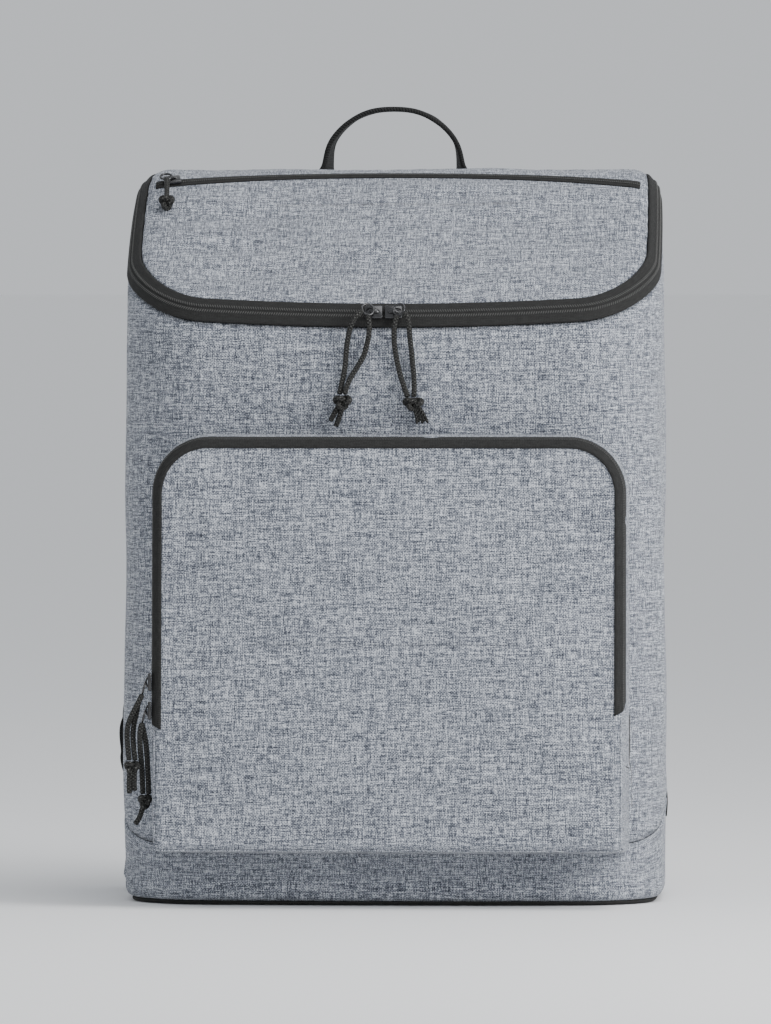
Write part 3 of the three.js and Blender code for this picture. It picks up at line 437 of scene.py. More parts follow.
def skin_point(at, run):
    """Points on the lid's skin, run millimetres from the rim of each station in at."""
    at = np.asarray(at) % count
    run = np.broadcast_to(np.asarray(run, float), at.shape)
    tilt = math.pi / 2 - run / lid_edge
    rounded = run < round_length[at]
    inward = np.where(rounded, lid_edge * (1 - np.sin(tilt)),
                      tangent_run[at] + (run - round_length[at]) * np.cos(pitch[at]))
    x = rim_x[at] - rim_out[at, 0] * inward
    y = rim_y[at] - rim_out[at, 1] * inward
    z = np.where(rounded, rim_z[at] + lid_edge * np.cos(tilt), lid_plane(y))
    below = run <= 0
    return np.stack([np.where(below, rim_x[at], x), np.where(below, rim_y[at], y),
                     np.where(below, rim_z[at] + run, z)], axis=1)


def skin(at, run, lift=0.0):
    """The same points lifted off the skin."""
    at = np.asarray(at)
    inwards = skin_point(at, np.asarray(run) + 0.1) - skin_point(at, np.asarray(run) - 0.1)
    along = skin_point(at + 1, run) - skin_point(at - 1, run)
    normal = unit(np.cross(along, inwards))
    return skin_point(at, run) + normal * np.reshape(lift, (-1, 1) if np.ndim(lift) else (1, 1))


def on_lid(x, y, lift=0.0):
    """Points over the inner part of the lid."""
    belly = side_belly * (1 - (y / half_depth) ** 2)
    room = half_width + belly - wall_inset(lid_plane(y)) - np.abs(x)
    edge = np.clip(1 - room / lid_edge, 0, 0.98)
    drop = lid_edge * (1 - np.sqrt(1 - edge ** 2))
    sideways = edge / np.sqrt(1 - edge ** 2) * np.sign(x)
    out = unit(np.stack(np.broadcast_arrays(sideways, -lid_pitch(y), 1.0), axis=-1))
    return np.stack(np.broadcast_arrays(x, y, lid_plane(y) - drop), axis=-1) + out * lift


# Walls
# Front, sides and back are one tube of melange cloth over foam, sewn to the base below and to the zip
# above. At the back it turns over on to the lid. Seams pucker it a little and the foam lets it swell softly.
wall_thickness = 0.005
everywhere = np.arange(count)
corner_turn = np.where(stations[:, 8] == 0, stations[:, 3], np.nan)
zip_start = np.flatnonzero((stations[:, 0] == 1) & (stations[:, 1] == 1) & (corner_turn >= 36 - 1e-6))[0]
zip_end = np.flatnonzero((stations[:, 0] == -1) & (stations[:, 1] == 1) & (corner_turn <= 144 + 1e-6))[-1]
off_zip = (everywhere > zip_start) & (everywhere < zip_end)
turn_over = np.where(off_zip, tape_width - seam_gap, 0.0)
past_zip = np.minimum(everywhere - zip_start, zip_end - everywhere)
turn_over = np.where(off_zip, turn_over * smooth(past_zip, 0, 3), 0)

wall_steps = 78
wall_shares = np.linspace(0, 1, wall_steps)
wall_length = rim_z - seam_height - seam_gap / 2
wall_rows = []
for share in wall_shares:
    run = share * (wall_length + turn_over)
    up = np.minimum(run, wall_length)
    lower = wall_row(seam_height + seam_gap / 2 + up)
    upper = skin(everywhere, np.maximum(run - wall_length, 0))
    wall_rows.append(np.where((run > wall_length)[:, None], upper, lower))
wall_rows = np.array(wall_rows)
from_base = wall_shares[:, None] * (wall_length + turn_over)[None, :]
from_zip = (1 - wall_shares[:, None]) * (wall_length + turn_over)[None, :]
wall_out = outward(wall_rows)
along_seam = outline_run[None, :-1]
pucker = 0.28 * np.exp(-from_zip / 14) * np.sin(along_seam / 2.4 + billow(wall_rows, 3, 30, 3))
pucker += 0.25 * np.exp(-from_base / 12) * np.sin(along_seam / 3.1 + billow(wall_rows, 3, 30, 4))
loose = smooth(from_zip, 0, 40) * smooth(from_base, 0, 30)
tall = wall_rows * np.array([1, 1, 0.45])
swell = loose * (billow(wall_rows, 2.0, 90, 5) + billow(tall, 1.5, 34, 6) - 0.9) + pucker
tucked = 1.1 * (np.exp(-from_base / 0.8) + np.exp(-from_zip / 0.8))
wall_rows += wall_out * (swell - tucked)[:, :, None]
wall_up = from_base + seam_height[None, :]
wall_uv = cloth_uv(outline_run[None, :], np.concatenate([wall_up, wall_up[:, :1]], axis=1))
walls = cloth_panel("wall_cloth", wall_rows, wall_uv)
modify(walls, "SOLIDIFY", thickness=wall_thickness, offset=-1)
finish_piece(walls, melange, "melange_fabric", "body_shell")

# Lid panel
# Melange cloth over foam inside the zip, soft enough for long shallow folds that run with the slope.
# The zip of the lid's pocket holds it down.
pocket_zip_y, pocket_zip_sag, pocket_zip_length = 29.0, 12.0, 276.0
lid_runs = [tape_width + past for past in (-0.2, 0.6, 2, 4.5, 7, 9.5)]


def pocket_line(x):
    """Where the zip of the lid's pocket runs: a shallow arch."""
    return pocket_zip_y - pocket_zip_sag * (2 * x / pocket_zip_length) ** 2


spine = np.where(stations[:, 8] == 0, stations[:, 0],
                 stations[:, 0] + (stations[:, 4] - stations[:, 0]) * stations[:, 8])
spine = spine * (half_width - half_depth)
lid_rows = [skin(everywhere, run) for run in lid_runs]
lid_inner = skin_point(everywhere, lid_runs[-1])
for share in np.linspace(0, 1, 24)[1:]:
    x = lid_inner[:, 0] + (spine - lid_inner[:, 0]) * share
    lid_rows.append(on_lid(x, lid_inner[:, 1] * (1 - share)))
lid_rows = np.array(lid_rows)
lid_out = outward(lid_rows)
lid_out[-1] = lid_out[-2]
lid_in = mean_run(lid_rows)[:, None]
wide = lid_rows * np.array([0.28, 1, 1])
swell = smooth(lid_in, 0, 26) * (billow(wide, 2.0, 17, 11) + billow(lid_rows, 2.2, 60, 12))
swell *= smooth(np.abs(lid_rows[:, :, 1] - pocket_line(lid_rows[:, :, 0])), 3, 18)
swell += 0.3 * np.exp(-lid_in / 12) * np.sin(along_seam / 2.3 + billow(lid_rows, 3, 30, 13))
sunk = np.exp(-lid_in / 0.7)
lid_rows += lid_out * (swell - sunk)[:, :, None]
lid_y = np.linspace(front_line, half_depth, 200)
lid_path = np.concatenate([[0], np.cumsum(np.hypot(np.diff(lid_y), np.diff(lid_plane(lid_y))))])
lid_uv = np.stack([lid_rows[:, :, 0], np.interp(lid_rows[:, :, 1], lid_y, lid_path)], axis=2)
lid_uv = np.concatenate([lid_uv, lid_uv[:, :1]], axis=1)
lid_panel = cloth_panel("lid_cloth", lid_rows, lid_uv)
in_edit(lid_panel, (bpy.ops.mesh.remove_doubles, {"threshold": 1e-6}))
modify(lid_panel, "SOLIDIFY", thickness=panel_thickness, offset=-1)
finish_piece(lid_panel, melange, "melange_fabric", "lid_panel")

# Lid zip
# A black tape round three sides of the lid with its edges turned under. The coil is on the inside, so two
# rows of slanted stitches show on either side of the line where the halves meet.
lid_tape_thickness, lid_stitch_pitch = 0.001, 1.35
order = np.concatenate([np.arange(zip_end, count), np.arange(0, zip_start + 1)])
tape_run = run_along(skin(order, tape_width / 2))
tape_profile = [(0.3, -1.0), (0.35, 0.0), (0.7, 0.55), (1.4, 0.75), (2.6, 0.6), (4.2, 0.45), (5.6, 0.6),
                (6.6, 0.8), (7.5, 0.72), (7.85, 0.35), (8.15, 0.35), (8.5, 0.72), (9.4, 0.8), (10.4, 0.6),
                (11.8, 0.45), (13.4, 0.6), (14.6, 0.75), (15.3, 0.55), (15.65, 0.0), (15.7, -1.0)]
tape_rows = np.array([skin(order, run, lift) for run, lift in tape_profile])
tape_uv = cloth_uv(tape_run[None, :], np.array(tape_profile)[:, :1])
lid_zip = cloth_panel("lid_zip_cloth", tape_rows, tape_uv, closed=False)
modify(lid_zip, "SOLIDIFY", thickness=lid_tape_thickness, offset=-1)
finish_piece(lid_zip, zip_cloth, "zip_tape", "lid_zip_tape")


def stitch_row(name, middles, alongs, outs, length, thickness, slant):
    """Many small raised stitches in one mesh: a six-sided pod at each place, slanted off the row."""
    ring = [(-0.5, 0, 0), (-0.22, -0.5, 0.35), (-0.22, 0.5, 0.35), (0.22, -0.5, 0.35), (0.22, 0.5, 0.35),
            (0.5, 0, 0), (0, 0, 0.8), (0, -0.55, 0), (0, 0.55, 0)]
    pod_faces = [(0, 7, 1), (1, 7, 3), (3, 7, 5), (0, 2, 8), (2, 4, 8), (4, 5, 8), (0, 1, 2), (1, 6, 2),
                 (1, 3, 6), (2, 6, 4), (3, 4, 6), (3, 5, 4)]
    pod = np.array(ring) * np.array([length, thickness, thickness])
    acrosses = np.cross(outs, alongs)
    cos, sin = math.cos(slant), math.sin(slant)
    lengthways = alongs * cos + acrosses * sin
    sideways = acrosses * cos - alongs * sin
    points = (middles[:, None] + pod[None, :, :1] * lengthways[:, None]
              + pod[None, :, 1:2] * sideways[:, None] + pod[None, :, 2:] * outs[:, None])
    faces = [tuple(k * len(ring) + i for i in f) for k in range(len(middles)) for f in pod_faces]
    mesh = bpy.data.meshes.new(name)
    mesh.from_pydata((points.reshape(-1, 3) / 1000).tolist(), [], faces)
    mesh.uv_layers.new(name="cloth")
    piece = bpy.data.objects.new(name, mesh)
    bpy.context.scene.collection.objects.link(piece)
    return piece


def along_row(rows, pitch):
    """Evenly spaced places along a line of points: how far along, as (index, share)."""
    run = run_along(rows)
    at = np.arange(pitch / 2, run[-1], pitch)
    low = np.clip(np.searchsorted(run, at) - 1, 0, len(rows) - 2)
    return low, (at - run[low]) / (run[low + 1] - run[low])


def spread(rows, low, share):
    return rows[low] + (rows[low + 1] - rows[low]) * share[:, None]


def speckle(shade, scale, detail):
    """Fine noise in the piece's own coordinates."""
    place = shade.node("ShaderNodeTexCoord", output=3)
    return shade.node("ShaderNodeTexNoise", None, {"Vector": place, "Scale": scale, "Detail": detail})


thread, thread_shader, thread_shade = new_material("black_thread")
thread_noise = speckle(thread_shade, 2600.0, 1.0)
plug(thread_shader, thread_noise.mix((0.02, 0.02, 0.019, 1), (0.11, 0.11, 0.105, 1)), "Base Color")
thread_shader.inputs["Roughness"].default_value = 0.6


def sew(name, under, line, above, pitch, length, thickness, slant):
    """Stitches along a line of points, spaced by the line under them. above is 1 mm farther out."""
    low, share = along_row(under, pitch)
    middle = spread(line, low, share)
    out = unit(spread(above, low, share) - middle)
    ahead = unit(spread(np.gradient(under, axis=0), low, share))
    stitches = stitch_row(name, middle, ahead, out, length, thickness, math.radians(slant))
    finish_piece(stitches, thread, "zip_tape")


for side, run, slant in [("outer", 6.5, 62), ("inner", 9.5, 118)]:
    under, line, above = (skin(order, run, lift) for lift in (0.0, 0.72, 1.72))
    sew(f"lid_zip_stitches_{side}", under, line, above, lid_stitch_pitch, 2.3, 0.55, slant)

# Lid pocket zip
# A narrow black zip across the lid for a flat pocket. Its tape lies on the cloth and its coil shows.
thin_tape, narrow_stitch_pitch = 0.0006, 1.1
zip_x = np.linspace(-pocket_zip_length / 2, pocket_zip_length / 2, 96)
zip_y = pocket_line(zip_x)
narrow_profile = [(-3.5, 0.1), (-3.4, 0.7), (-2.9, 0.95), (-1.6, 0.85), (-1.2, 1.25), (-0.4, 1.45),
                  (0, 1.2), (0.4, 1.45), (1.2, 1.25), (1.6, 0.85), (2.9, 0.95), (3.4, 0.7), (3.5, 0.1)]
narrow_rows = np.array([on_lid(zip_x, zip_y + across, lift) for across, lift in narrow_profile])
narrow_uv = cloth_uv(zip_x[None, :] + 200, np.array(narrow_profile)[:, :1] + 4)
lid_pocket_zip = cloth_panel("lid_pocket_zip_cloth", narrow_rows, narrow_uv, closed=False)
modify(lid_pocket_zip, "SOLIDIFY", thickness=thin_tape, offset=-1)
finish_piece(lid_pocket_zip, zip_cloth, "zip_tape", "lid_pocket_zip_tape")
for side, across, slant in [("front", -0.85, 66), ("back", 0.85, 114)]:
    line, above = (on_lid(zip_x, zip_y + across, lift) for lift in (1.3, 2.3))
    sew(f"lid_pocket_zip_stitches_{side}", line, line, above, narrow_stitch_pitch, 1.5, 0.5, slant)

# Front pocket
# An open box of melange cloth sewn to the front. A gusset runs round its sides and the face is sewn to it.
pocket_half_width, pocket_bottom, pocket_top = 134.0, 29.5, 265.0
pocket_depth_bottom, pocket_depth_top, pocket_lean, pocket_edge = 36.0, 19.0, 3.5, 4.0
pocket_belly, pocket_seat, pocket_thickness, face_fullness = 2.0, 0.8, 0.0018, 3.5
pocket_corners = [(-1, -1, 4.0, 180), (1, -1, 4.0, 270), (1, 1, 33.0, 0), (-1, 1, 33.0, 90)]
pocket_middle, pocket_half_height = (pocket_top + pocket_bottom) / 2, (pocket_top - pocket_bottom) / 2
pocket_spacing = 3.2


def pocket_arc(sx, sz, radius, turn, inset):
    shrunk, reach = np.maximum(radius - inset, 0.6), np.maximum(radius, inset + 0.6)
    return (sx * (pocket_half_width - reach) + shrunk * np.cos(np.radians(turn)),
            pocket_middle + sz * (pocket_half_height - reach) + shrunk * np.sin(np.radians(turn)))


def pocket_stations():
    rows = []
    for k, (sx, sz, radius, turn) in enumerate(pocket_corners):
        nx, nz, next_radius, next_turn = pocket_corners[(k + 1) % 4]
        steps = max(3, round(radius * math.pi / 2 / pocket_spacing))
        for i in range(steps + 1):
            rows.append((sx, sz, radius, turn + 90 * i / steps, nx, nz, next_radius, next_turn, 0))
        length = 2 * (pocket_half_width if sx != nx else pocket_half_height) - radius - next_radius
        steps = round(length / pocket_spacing)
        for i in range(1, steps):
            rows.append((sx, sz, radius, turn + 90, nx, nz, next_radius, next_turn, i / steps))
    return np.array(rows, float)


def pocket_outline(rows, inset):
    sx, sz, radius, turn, nx, nz, next_radius, next_turn, share = rows.T
    ax, az = pocket_arc(sx, sz, radius, turn, inset)
    bx, bz = pocket_arc(nx, nz, next_radius, next_turn, inset)
    return ax + (bx - ax) * share, az + (bz - az) * share


def front_wall_y(x, z):
    """Where the front wall is, at a width and a height."""
    levels = np.linspace(0, side_tuck, 5)
    fronts = []
    for level in levels:
        px, py = plan(level)
        front = np.flatnonzero(py < -half_depth / 2)
        front = front[np.argsort(px[front])]
        fronts.append(np.interp(x, px[front], py[front]))
    at = np.clip(wall_inset(z) / side_tuck * 4, 0, 3.999)
    low = at.astype(int)
    fronts, columns = np.array(fronts), np.arange(len(x))
    return fronts[low, columns] + (fronts[low + 1, columns] - fronts[low, columns]) * (at - low)


def pocket_face_y(x, z):
    share = (z - pocket_bottom) / (pocket_top - pocket_bottom)
    swell = pocket_belly * (1 - (x / pocket_half_width) ** 2) * np.sin(math.pi * np.clip(share, 0, 1))
    return front_line - (pocket_depth_bottom + (pocket_depth_top - pocket_depth_bottom) * share) - swell


def pocket_skin(outline, along, lift=0.0):
    """Points on the pocket: 0 to 1 is out of the body, 1 to 2 round the edge, and then millimetres in."""
    rounding = pocket_edge + lift
    angle = min(max(along - 1, 0), 1) * math.pi / 2
    inset = pocket_lean * min(along, 1) - lift + max(along - 2, 0)
    inset += rounding * (1 - math.cos(angle)) if along > 1 else 0
    x, z = outline(inset)
    edge_x, edge_z = outline(pocket_lean + pocket_edge)
    wall = front_wall_y(x, z) - pocket_seat
    side_end = pocket_face_y(edge_x, edge_z) + pocket_edge
    if along <= 1:
        y = wall + (side_end - wall) * along
    elif along <= 2:
        y = side_end - rounding * math.sin(angle)
    else:
        y = pocket_face_y(x, z) - lift
    return np.stack([x, y, z], axis=1)


pocket_rows = pocket_stations()


def whole_pocket(inset):
    return pocket_outline(pocket_rows, inset)


seam_share = 1.12
gusset_alongs = list(np.linspace(0, 1, 13)) + [1.06, seam_share]
gusset_rows = np.array([pocket_skin(whole_pocket, along) for along in gusset_alongs])
gusset_run = run_round(gusset_rows[0])


def run_inwards(rows):
    """How far each point of a grid is from the first row, along its own column."""
    steps = np.linalg.norm(np.diff(rows, axis=0), axis=2)
    return np.concatenate([np.zeros((1, steps.shape[1])), np.cumsum(steps, axis=0)])


gusset_depth = run_inwards(gusset_rows)
gusset_depth = np.concatenate([gusset_depth, gusset_depth[:, :1]], axis=1)
gusset_uv = np.stack([np.broadcast_to(gusset_run, gusset_depth.shape), gusset_depth + 31], axis=2)
gusset_out = outward(gusset_rows)
slack = np.sin(np.linspace(0, math.pi, len(gusset_alongs)))[:, None]
long_rows = gusset_rows * np.array([1, 0.4, 1])
gusset_swell = slack * (billow(gusset_rows, 1.6, 28, 21) + billow(long_rows, 0.8, 9, 22))
gusset_swell[-1] -= 0.9
gusset_rows += gusset_out * gusset_swell[:, :, None]
pocket_gusset = cloth_panel("pocket_gusset_cloth", gusset_rows, gusset_uv)
modify(pocket_gusset, "SOLIDIFY", thickness=pocket_thickness, offset=-1)
finish_piece(pocket_gusset, melange, "melange_fabric", "front_pocket")

face_alongs = [seam_share + 0.02, 1.17, 1.26, 1.4, 1.55, 1.7, 1.85, 2.0, 4.0, 6.5, 9.5, 13.0, 17.0, 22.0]
face_rows = [pocket_skin(whole_pocket, along) for along in face_alongs]
pocket_spine = np.where(pocket_rows[:, 8] == 0, pocket_rows[:, 0],
                        pocket_rows[:, 0] + (pocket_rows[:, 4] - pocket_rows[:, 0]) * pocket_rows[:, 8])
spine_x = pocket_spine * (pocket_half_width - pocket_half_height / 2)
ring = face_rows[-1]
for share in np.linspace(0, 1, 30)[1:]:
    x = ring[:, 0] + (spine_x - ring[:, 0]) * share
    z = ring[:, 2] + (pocket_middle - ring[:, 2]) * share
    face_rows.append(np.stack([x, pocket_face_y(x, z), z], axis=1))
face_rows = np.array(face_rows)
face_out = outward(face_rows)
face_out[-1] = face_out[-2]
face_in = run_inwards(face_rows)
broad_rows = face_rows * np.array([0.6, 1, 1.3])
face_swell = smooth(face_in, 4, 34) * (billow(face_rows, 2.2, 85, 23) + billow(broad_rows, 1.3, 32, 24))
face_swell += face_fullness * smooth(face_in, 2, 48)
face_x, face_z = face_rows[:, :, 0], face_rows[:, :, 2]
creases = [(88, 72, 46, 34, 62, 6.4, 1.0), (-122, 58, 15, 24, 28, 1.9, 0.75)]
for x, z, wide, tall, turn, crease_pitch, deep in creases:
    near = np.exp(-(((face_x - x) / wide) ** 2 + ((face_z - z) / tall) ** 2))
    across = face_x * math.cos(math.radians(turn)) + face_z * math.sin(math.radians(turn))
    folds = np.sin(across / crease_pitch + billow(face_rows, 1.6, 50, 25))
    face_swell += smooth(face_in, 4, 14) * near * deep * folds
face_swell += 0.35 * np.exp(-face_in / 12) * smooth(face_in, 0, 4) * np.sin(
    gusset_run[None, :-1] / 2.6 + billow(face_rows, 3, 30, 26))
face_swell -= 0.9 * np.exp(-face_in / 0.7)
face_rows += face_out * face_swell[:, :, None]
face_uv = face_rows[:, :, [0, 2]] + face_out[:, :, [0, 2]] * pocket_edge * (math.pi / 2 - 1)
face_uv = np.concatenate([face_uv, face_uv[:, :1]], axis=1)
pocket_face = cloth_panel("pocket_face_cloth", face_rows, face_uv)
in_edit(pocket_face, (bpy.ops.mesh.remove_doubles, {"threshold": 1e-6}))
modify(pocket_face, "SOLIDIFY", thickness=pocket_thickness, offset=-1)
finish_piece(pocket_face, melange, "melange_fabric", "front_pocket")


def route(points, shares):
    """A smooth curve through points, at shares of its spans."""
    points, shares = np.asarray(points, float), np.asarray(shares, float)
    ends = np.vstack([2 * points[0] - points[1], points, 2 * points[-1] - points[-2]])
    at = np.clip(shares * (len(points) - 1), 0, len(points) - 1 - 1e-9)
    k = at.astype(int)
    t = (at - k)[:, None]
    a, b, c, d = ends[k], ends[k + 1], ends[k + 2], ends[k + 3]
    before, here, after = (np.linalg.norm(v - u, axis=1, keepdims=True) ** 0.5
                           for u, v in ((a, b), (b, c), (c, d)))
    here = np.where(here < 1e-4, 1, here)
    before, after = np.where(before < 1e-4, here, before), np.where(after < 1e-4, here, after)
    leaving = ((b - a) / before - (c - a) / (before + here) + (c - b) / here) * here
    arriving = ((c - b) / here - (d - b) / (here + after) + (d - c) / after) * here
    return (b * (2 * t ** 3 - 3 * t ** 2 + 1) + c * (3 * t ** 2 - 2 * t ** 3)
            + leaving * (t ** 3 - 2 * t ** 2 + t) + arriving * (t ** 3 - t ** 2))


def close_ends(piece):
    in_edit(piece, (bpy.ops.mesh.fill_holes, {"sides": 0}), (bpy.ops.mesh.normals_make_consistent, {}))


def tube(name, path, radius, sides=14):
    """A round cord along a path in millimetres, with rounded ends."""
    path = np.asarray(path, float)
    tangent = unit(np.gradient(path, axis=0))
    side = np.cross(tangent[0], (0.3, 0.9, 0.2))
    frames = []
    for t in tangent:
        side = side - t * side.dot(t)
        side = side / np.linalg.norm(side)
        frames.append((side, np.cross(t, side)))
    turns = np.linspace(0, 2 * math.pi, sides, endpoint=False)
    rows = []
    caps = [(-0.45, 0.25), (-0.34, 0.68), (-0.13, 0.93)]
    for shift, width in caps:
        rows.append((path[0] + tangent[0] * shift * radius, frames[0], width * radius))
    rows += [(p, f, radius) for p, f in zip(path, frames)]
    for shift, width in caps[::-1]:
        rows.append((path[-1] - tangent[-1] * shift * radius, frames[-1], width * radius))
    grid = np.array([[p + (f[0] * math.cos(a) + f[1] * math.sin(a)) * r for a in turns]
                     for p, f, r in rows])
    run = run_along(np.array([row[0] for row in rows]))
    around = np.linspace(0, 2 * math.pi * radius, sides + 1)
    piece = cloth_panel(name, grid, cloth_uv(run[:, None], around[None, :]))
    close_ends(piece)
    return piece


low_seam = pocket_skin(whole_pocket, 1.3, 0.25)
first = np.flatnonzero((pocket_rows[:, 0] == -1) & (pocket_rows[:, 1] == 1))[-1]
low_seam = np.roll(low_seam, -first, axis=0)
low_seam = low_seam[low_seam[:, 2] < 102]
edge_seam = tube("pocket_edge_seam", low_seam, 0.55, 8)
finish_piece(edge_seam, melange, "melange_fabric")
# Black thread down the right-hand join of the pocket's gusset and the front wall is painted shade: a dark line
# that stands for the contact shadow along that seam.
seam_shadow_rows = [(134.3, 107), (134.2, 95), (134.2, 86), (134.0, 80.5), (134.6, 77.5), (135.1, 70),
                  (135.4, 56)]
shadow_step_rows = [(130.6, 81.5), (132.4, 79.2), (134.4, 78)]


def on_front_wall(x, z, lift):
    return np.array([x, float(front_wall_y(np.array([x]), np.array([z]))[0]) - lift, z])


painted_seam_shadow = tube("pocket_seam_painted_shadow", route([on_front_wall(x, z, 0.5) for x, z in seam_shadow_rows],
                                           np.linspace(0, 1, 50)), 0.4, 8)
finish_piece(painted_seam_shadow, thread, "zip_tape")
# A short black thread where that shadow line steps aside at a small fold: painted shade in the crease.
shadow_step_points = [pocket_skin(lambda inset: (np.array([x]), np.array([z])), 0.4, 0.4)[0] for x, z in shadow_step_rows]
painted_shadow_step = tube("pocket_fold_painted_shadow", route(shadow_step_points, np.linspace(0, 1, 16)), 0.35, 8)
finish_piece(painted_shadow_step, thread, "zip_tape")

# Front pocket zip
# The same black tape as the lid's, laid over the pocket's rounded edge from one side to the other.
pocket_tape_width, left_end, right_end, end_slant, pocket_stitch_pitch = 13.0, 104.0, 112.0, 7.0, 1.35
top_rows = pocket_rows[np.flatnonzero(pocket_rows[:, 1] == 1)]
top_rows = top_rows[(top_rows[:, 0] == 1) | (top_rows[:, 8] == 0)]
side_top = pocket_top - pocket_corners[2][2]
right_z = np.arange(right_end, side_top - 1, pocket_spacing)
left_z = np.arange(left_end, side_top - 1, pocket_spacing)[::-1]


def along_pocket_zip(inset, across):
    """The zip's line at an inset. Its ends are cut on a slant, longer on the pocket's face."""
    x, z = pocket_outline(top_rows, inset)
    cut = end_slant * (0.5 - across / pocket_tape_width)
    right, left = (rows + cut * np.exp(-(rows - rows.min()) / 8) for rows in (right_z, left_z))
    return (np.concatenate([np.full(len(right_z), pocket_half_width - inset), x,
                            np.full(len(left_z), inset - pocket_half_width)]),
            np.concatenate([right, z, left]))


def pocket_tape(across, lift):
    on_side = pocket_tape_width - pocket_edge * math.pi / 2
    if across <= on_side:
        along = 1 - (on_side - across) / pocket_depth_top
    else:
        along = 1 + (across - on_side) / (pocket_edge * math.pi / 2)
    return pocket_skin(lambda inset: along_pocket_zip(inset, across), along, lift)


pocket_profile = [(0, -0.2), (0.1, 0.8), (0.7, 1.25), (1.6, 1.15), (2.8, 1.1), (4.0, 1.25), (4.9, 1.5),
                  (5.9, 1.45), (6.3, 1.0), (6.7, 1.0), (7.1, 1.45), (8.1, 1.5), (9.0, 1.25), (10.2, 1.1),
                  (11.4, 1.15), (12.3, 1.25), (12.9, 0.8), (13, -0.2)]
middle_row = 8
pocket_tape_rows = np.array([pocket_tape(across, lift) for across, lift in pocket_profile])
pocket_tape_uv = cloth_uv(run_along(pocket_tape_rows[middle_row])[None, :], np.array(pocket_profile)[:, :1])
pocket_zip = cloth_panel("front_pocket_zip_cloth", pocket_tape_rows, pocket_tape_uv, closed=False)
modify(pocket_zip, "SOLIDIFY", thickness=thin_tape, offset=-1)
finish_piece(pocket_zip, zip_cloth, "zip_tape", "front_pocket_zip_tape")
for side, across, slant in [("outer", 5.2, 62), ("inner", 7.8, 118)]:
    line, above = (pocket_tape(across, lift) for lift in (1.4, 2.4))
    sew(f"front_pocket_zip_stitches_{side}", line, line, above, pocket_stitch_pitch, 2.1, 0.5, slant)

# Carry handle
# A loop of black webbing, sewn flat to the back wall. Each leg turns on to its edge on the way up.
handle_width, handle_thickness, handle_span, handle_shift = 25.0, 3.0, 77.0, -5.3
handle_rise, handle_sewn_top, handle_sewn_length, handle_off = 34.7, 384.0, 18.0, 13.2


def band(name, centres, acrosses, section, steps):
    """A strip of cloth or webbing along a curve. section is its outline, (across, out) in millimetres."""
    shares = np.linspace(0, 1, steps + 1)
    centre = route(centres, shares)
    tangent = unit(np.gradient(centre, axis=0))
    side = route(acrosses, shares)
    side = unit(side - tangent * np.sum(side * tangent, axis=1, keepdims=True))
    face = np.cross(tangent, side)
    section = np.array(section, float)
    rows = centre[:, None] + side[:, None] * section[None, :, :1] + face[:, None] * section[None, :, 1:]
    piece = cloth_panel(name, rows, cloth_uv(run_along(centre)[:, None], run_round(section)[None, :]))
    close_ends(piece)
    return piece


def webbing_section(width, thickness):
    """A flat band with rounded edges and a slightly fuller middle."""
    half, thick = width / 2, thickness / 2
    out = [(-1, 0), (-0.97, 0.62), (-0.9, 0.92), (-0.7, 0.9), (-0.35, 0.96), (0, 1), (0.35, 0.96),
           (0.7, 0.9), (0.9, 0.92), (0.97, 0.62)]
    return [(u * half, v * thick) for u, v in out] + [(-u * half, -v * thick) for u, v in out]


def on_back_wall(x, z, thickness):
    return np.array([x, half_depth - float(wall_inset(z)) + seam_gap + thickness / 2, z])


webbing_cloth = black_cloth("webbing_cloth", (0.015, 0.015, 0.015), 0.0016, 0.0004)
handle_rows = [(-1, -0.72, 0.14, 0.34), (-1, -0.36, 0.58, 0.8), (-1, 0, 0.9, 1), (-0.93, 0.42, 0.97, 0.9),
               (-0.68, 0.76, 1, 0.75), (-0.36, 0.95, 1, 0.65), (0, 1, 1, 0.6)]
handle_rows += [(-span, *rest) for span, *rest in handle_rows[-2::-1]]
free_centres, free_acrosses = [], []
for span, rise, turned, off in handle_rows:
    centre = on_back_wall(handle_shift + span * handle_span / 2, body_height, handle_thickness)
    up = rise * (handle_rise - handle_thickness / 2)
    free_centres.append(centre + np.array([0, off * handle_off, up]))
    angle = turned * math.pi / 2
    sideways = -math.copysign(math.cos(angle), span) if span else 0
    free_acrosses.append(np.array([sideways, math.sin(angle), 0]))
sewn_heights = [handle_sewn_top - share * handle_sewn_length for share in (1, 0.12, 0)]
sewn_room = handle_thickness + 2 * seam_gap
left_sewn, right_sewn = ([on_back_wall(handle_shift + side * handle_span / 2, z, sewn_room)
                          for z in sewn_heights] for side in (-1, 1))
carry_handle = band("carry_handle_webbing", left_sewn + free_centres + right_sewn[::-1],
                    [(1, 0, 0)] * 3 + free_acrosses + [(-1, 0, 0)] * 3,
                    webbing_section(handle_width, handle_thickness), 150)
finish_piece(carry_handle, webbing_cloth, "webbing", "carry_handle")

# Shoulder straps
# Padded straps of melange cloth, sewn under the handle. They bow out behind the back and end in buckles.
strap_width, strap_thickness, strap_off = 60.0, 10.0, 38.0
strap_rows = [(0.3, 0, 0.865), (0.305, 0.02, 0.825), (0.35, 0.5, 0.75), (0.43, 0.95, 0.66),
              (0.52, 1, 0.57), (0.59, 0.8, 0.495), (0.63, 0.56, 0.445)]
strap_section_points = 48


def strap_point(side, out, off, height):
    point = on_back_wall(side * out * half_width, height * body_height, strap_thickness)
    return point + np.array([0, off * strap_off, 0])


strap_section = []
for k in range(strap_section_points):
    angle = 2 * math.pi * k / strap_section_points
    across, thick = math.cos(angle), math.sin(angle)
    u = math.copysign(abs(across) ** 0.55, across) * strap_width / 2
    v = math.copysign(abs(thick) ** 0.8, thick) * strap_thickness / 2
    strap_section.append((u, v))
for name, side in [("left", -1), ("right", 1)]:
    centres = [strap_point(side, *row) for row in strap_rows]
    strap = band(f"strap_padding_{name}", centres, [(side, 0, 0)] * len(centres), strap_section, 90)
    finish_piece(strap, melange, "melange_fabric", f"shoulder_strap_{name}")

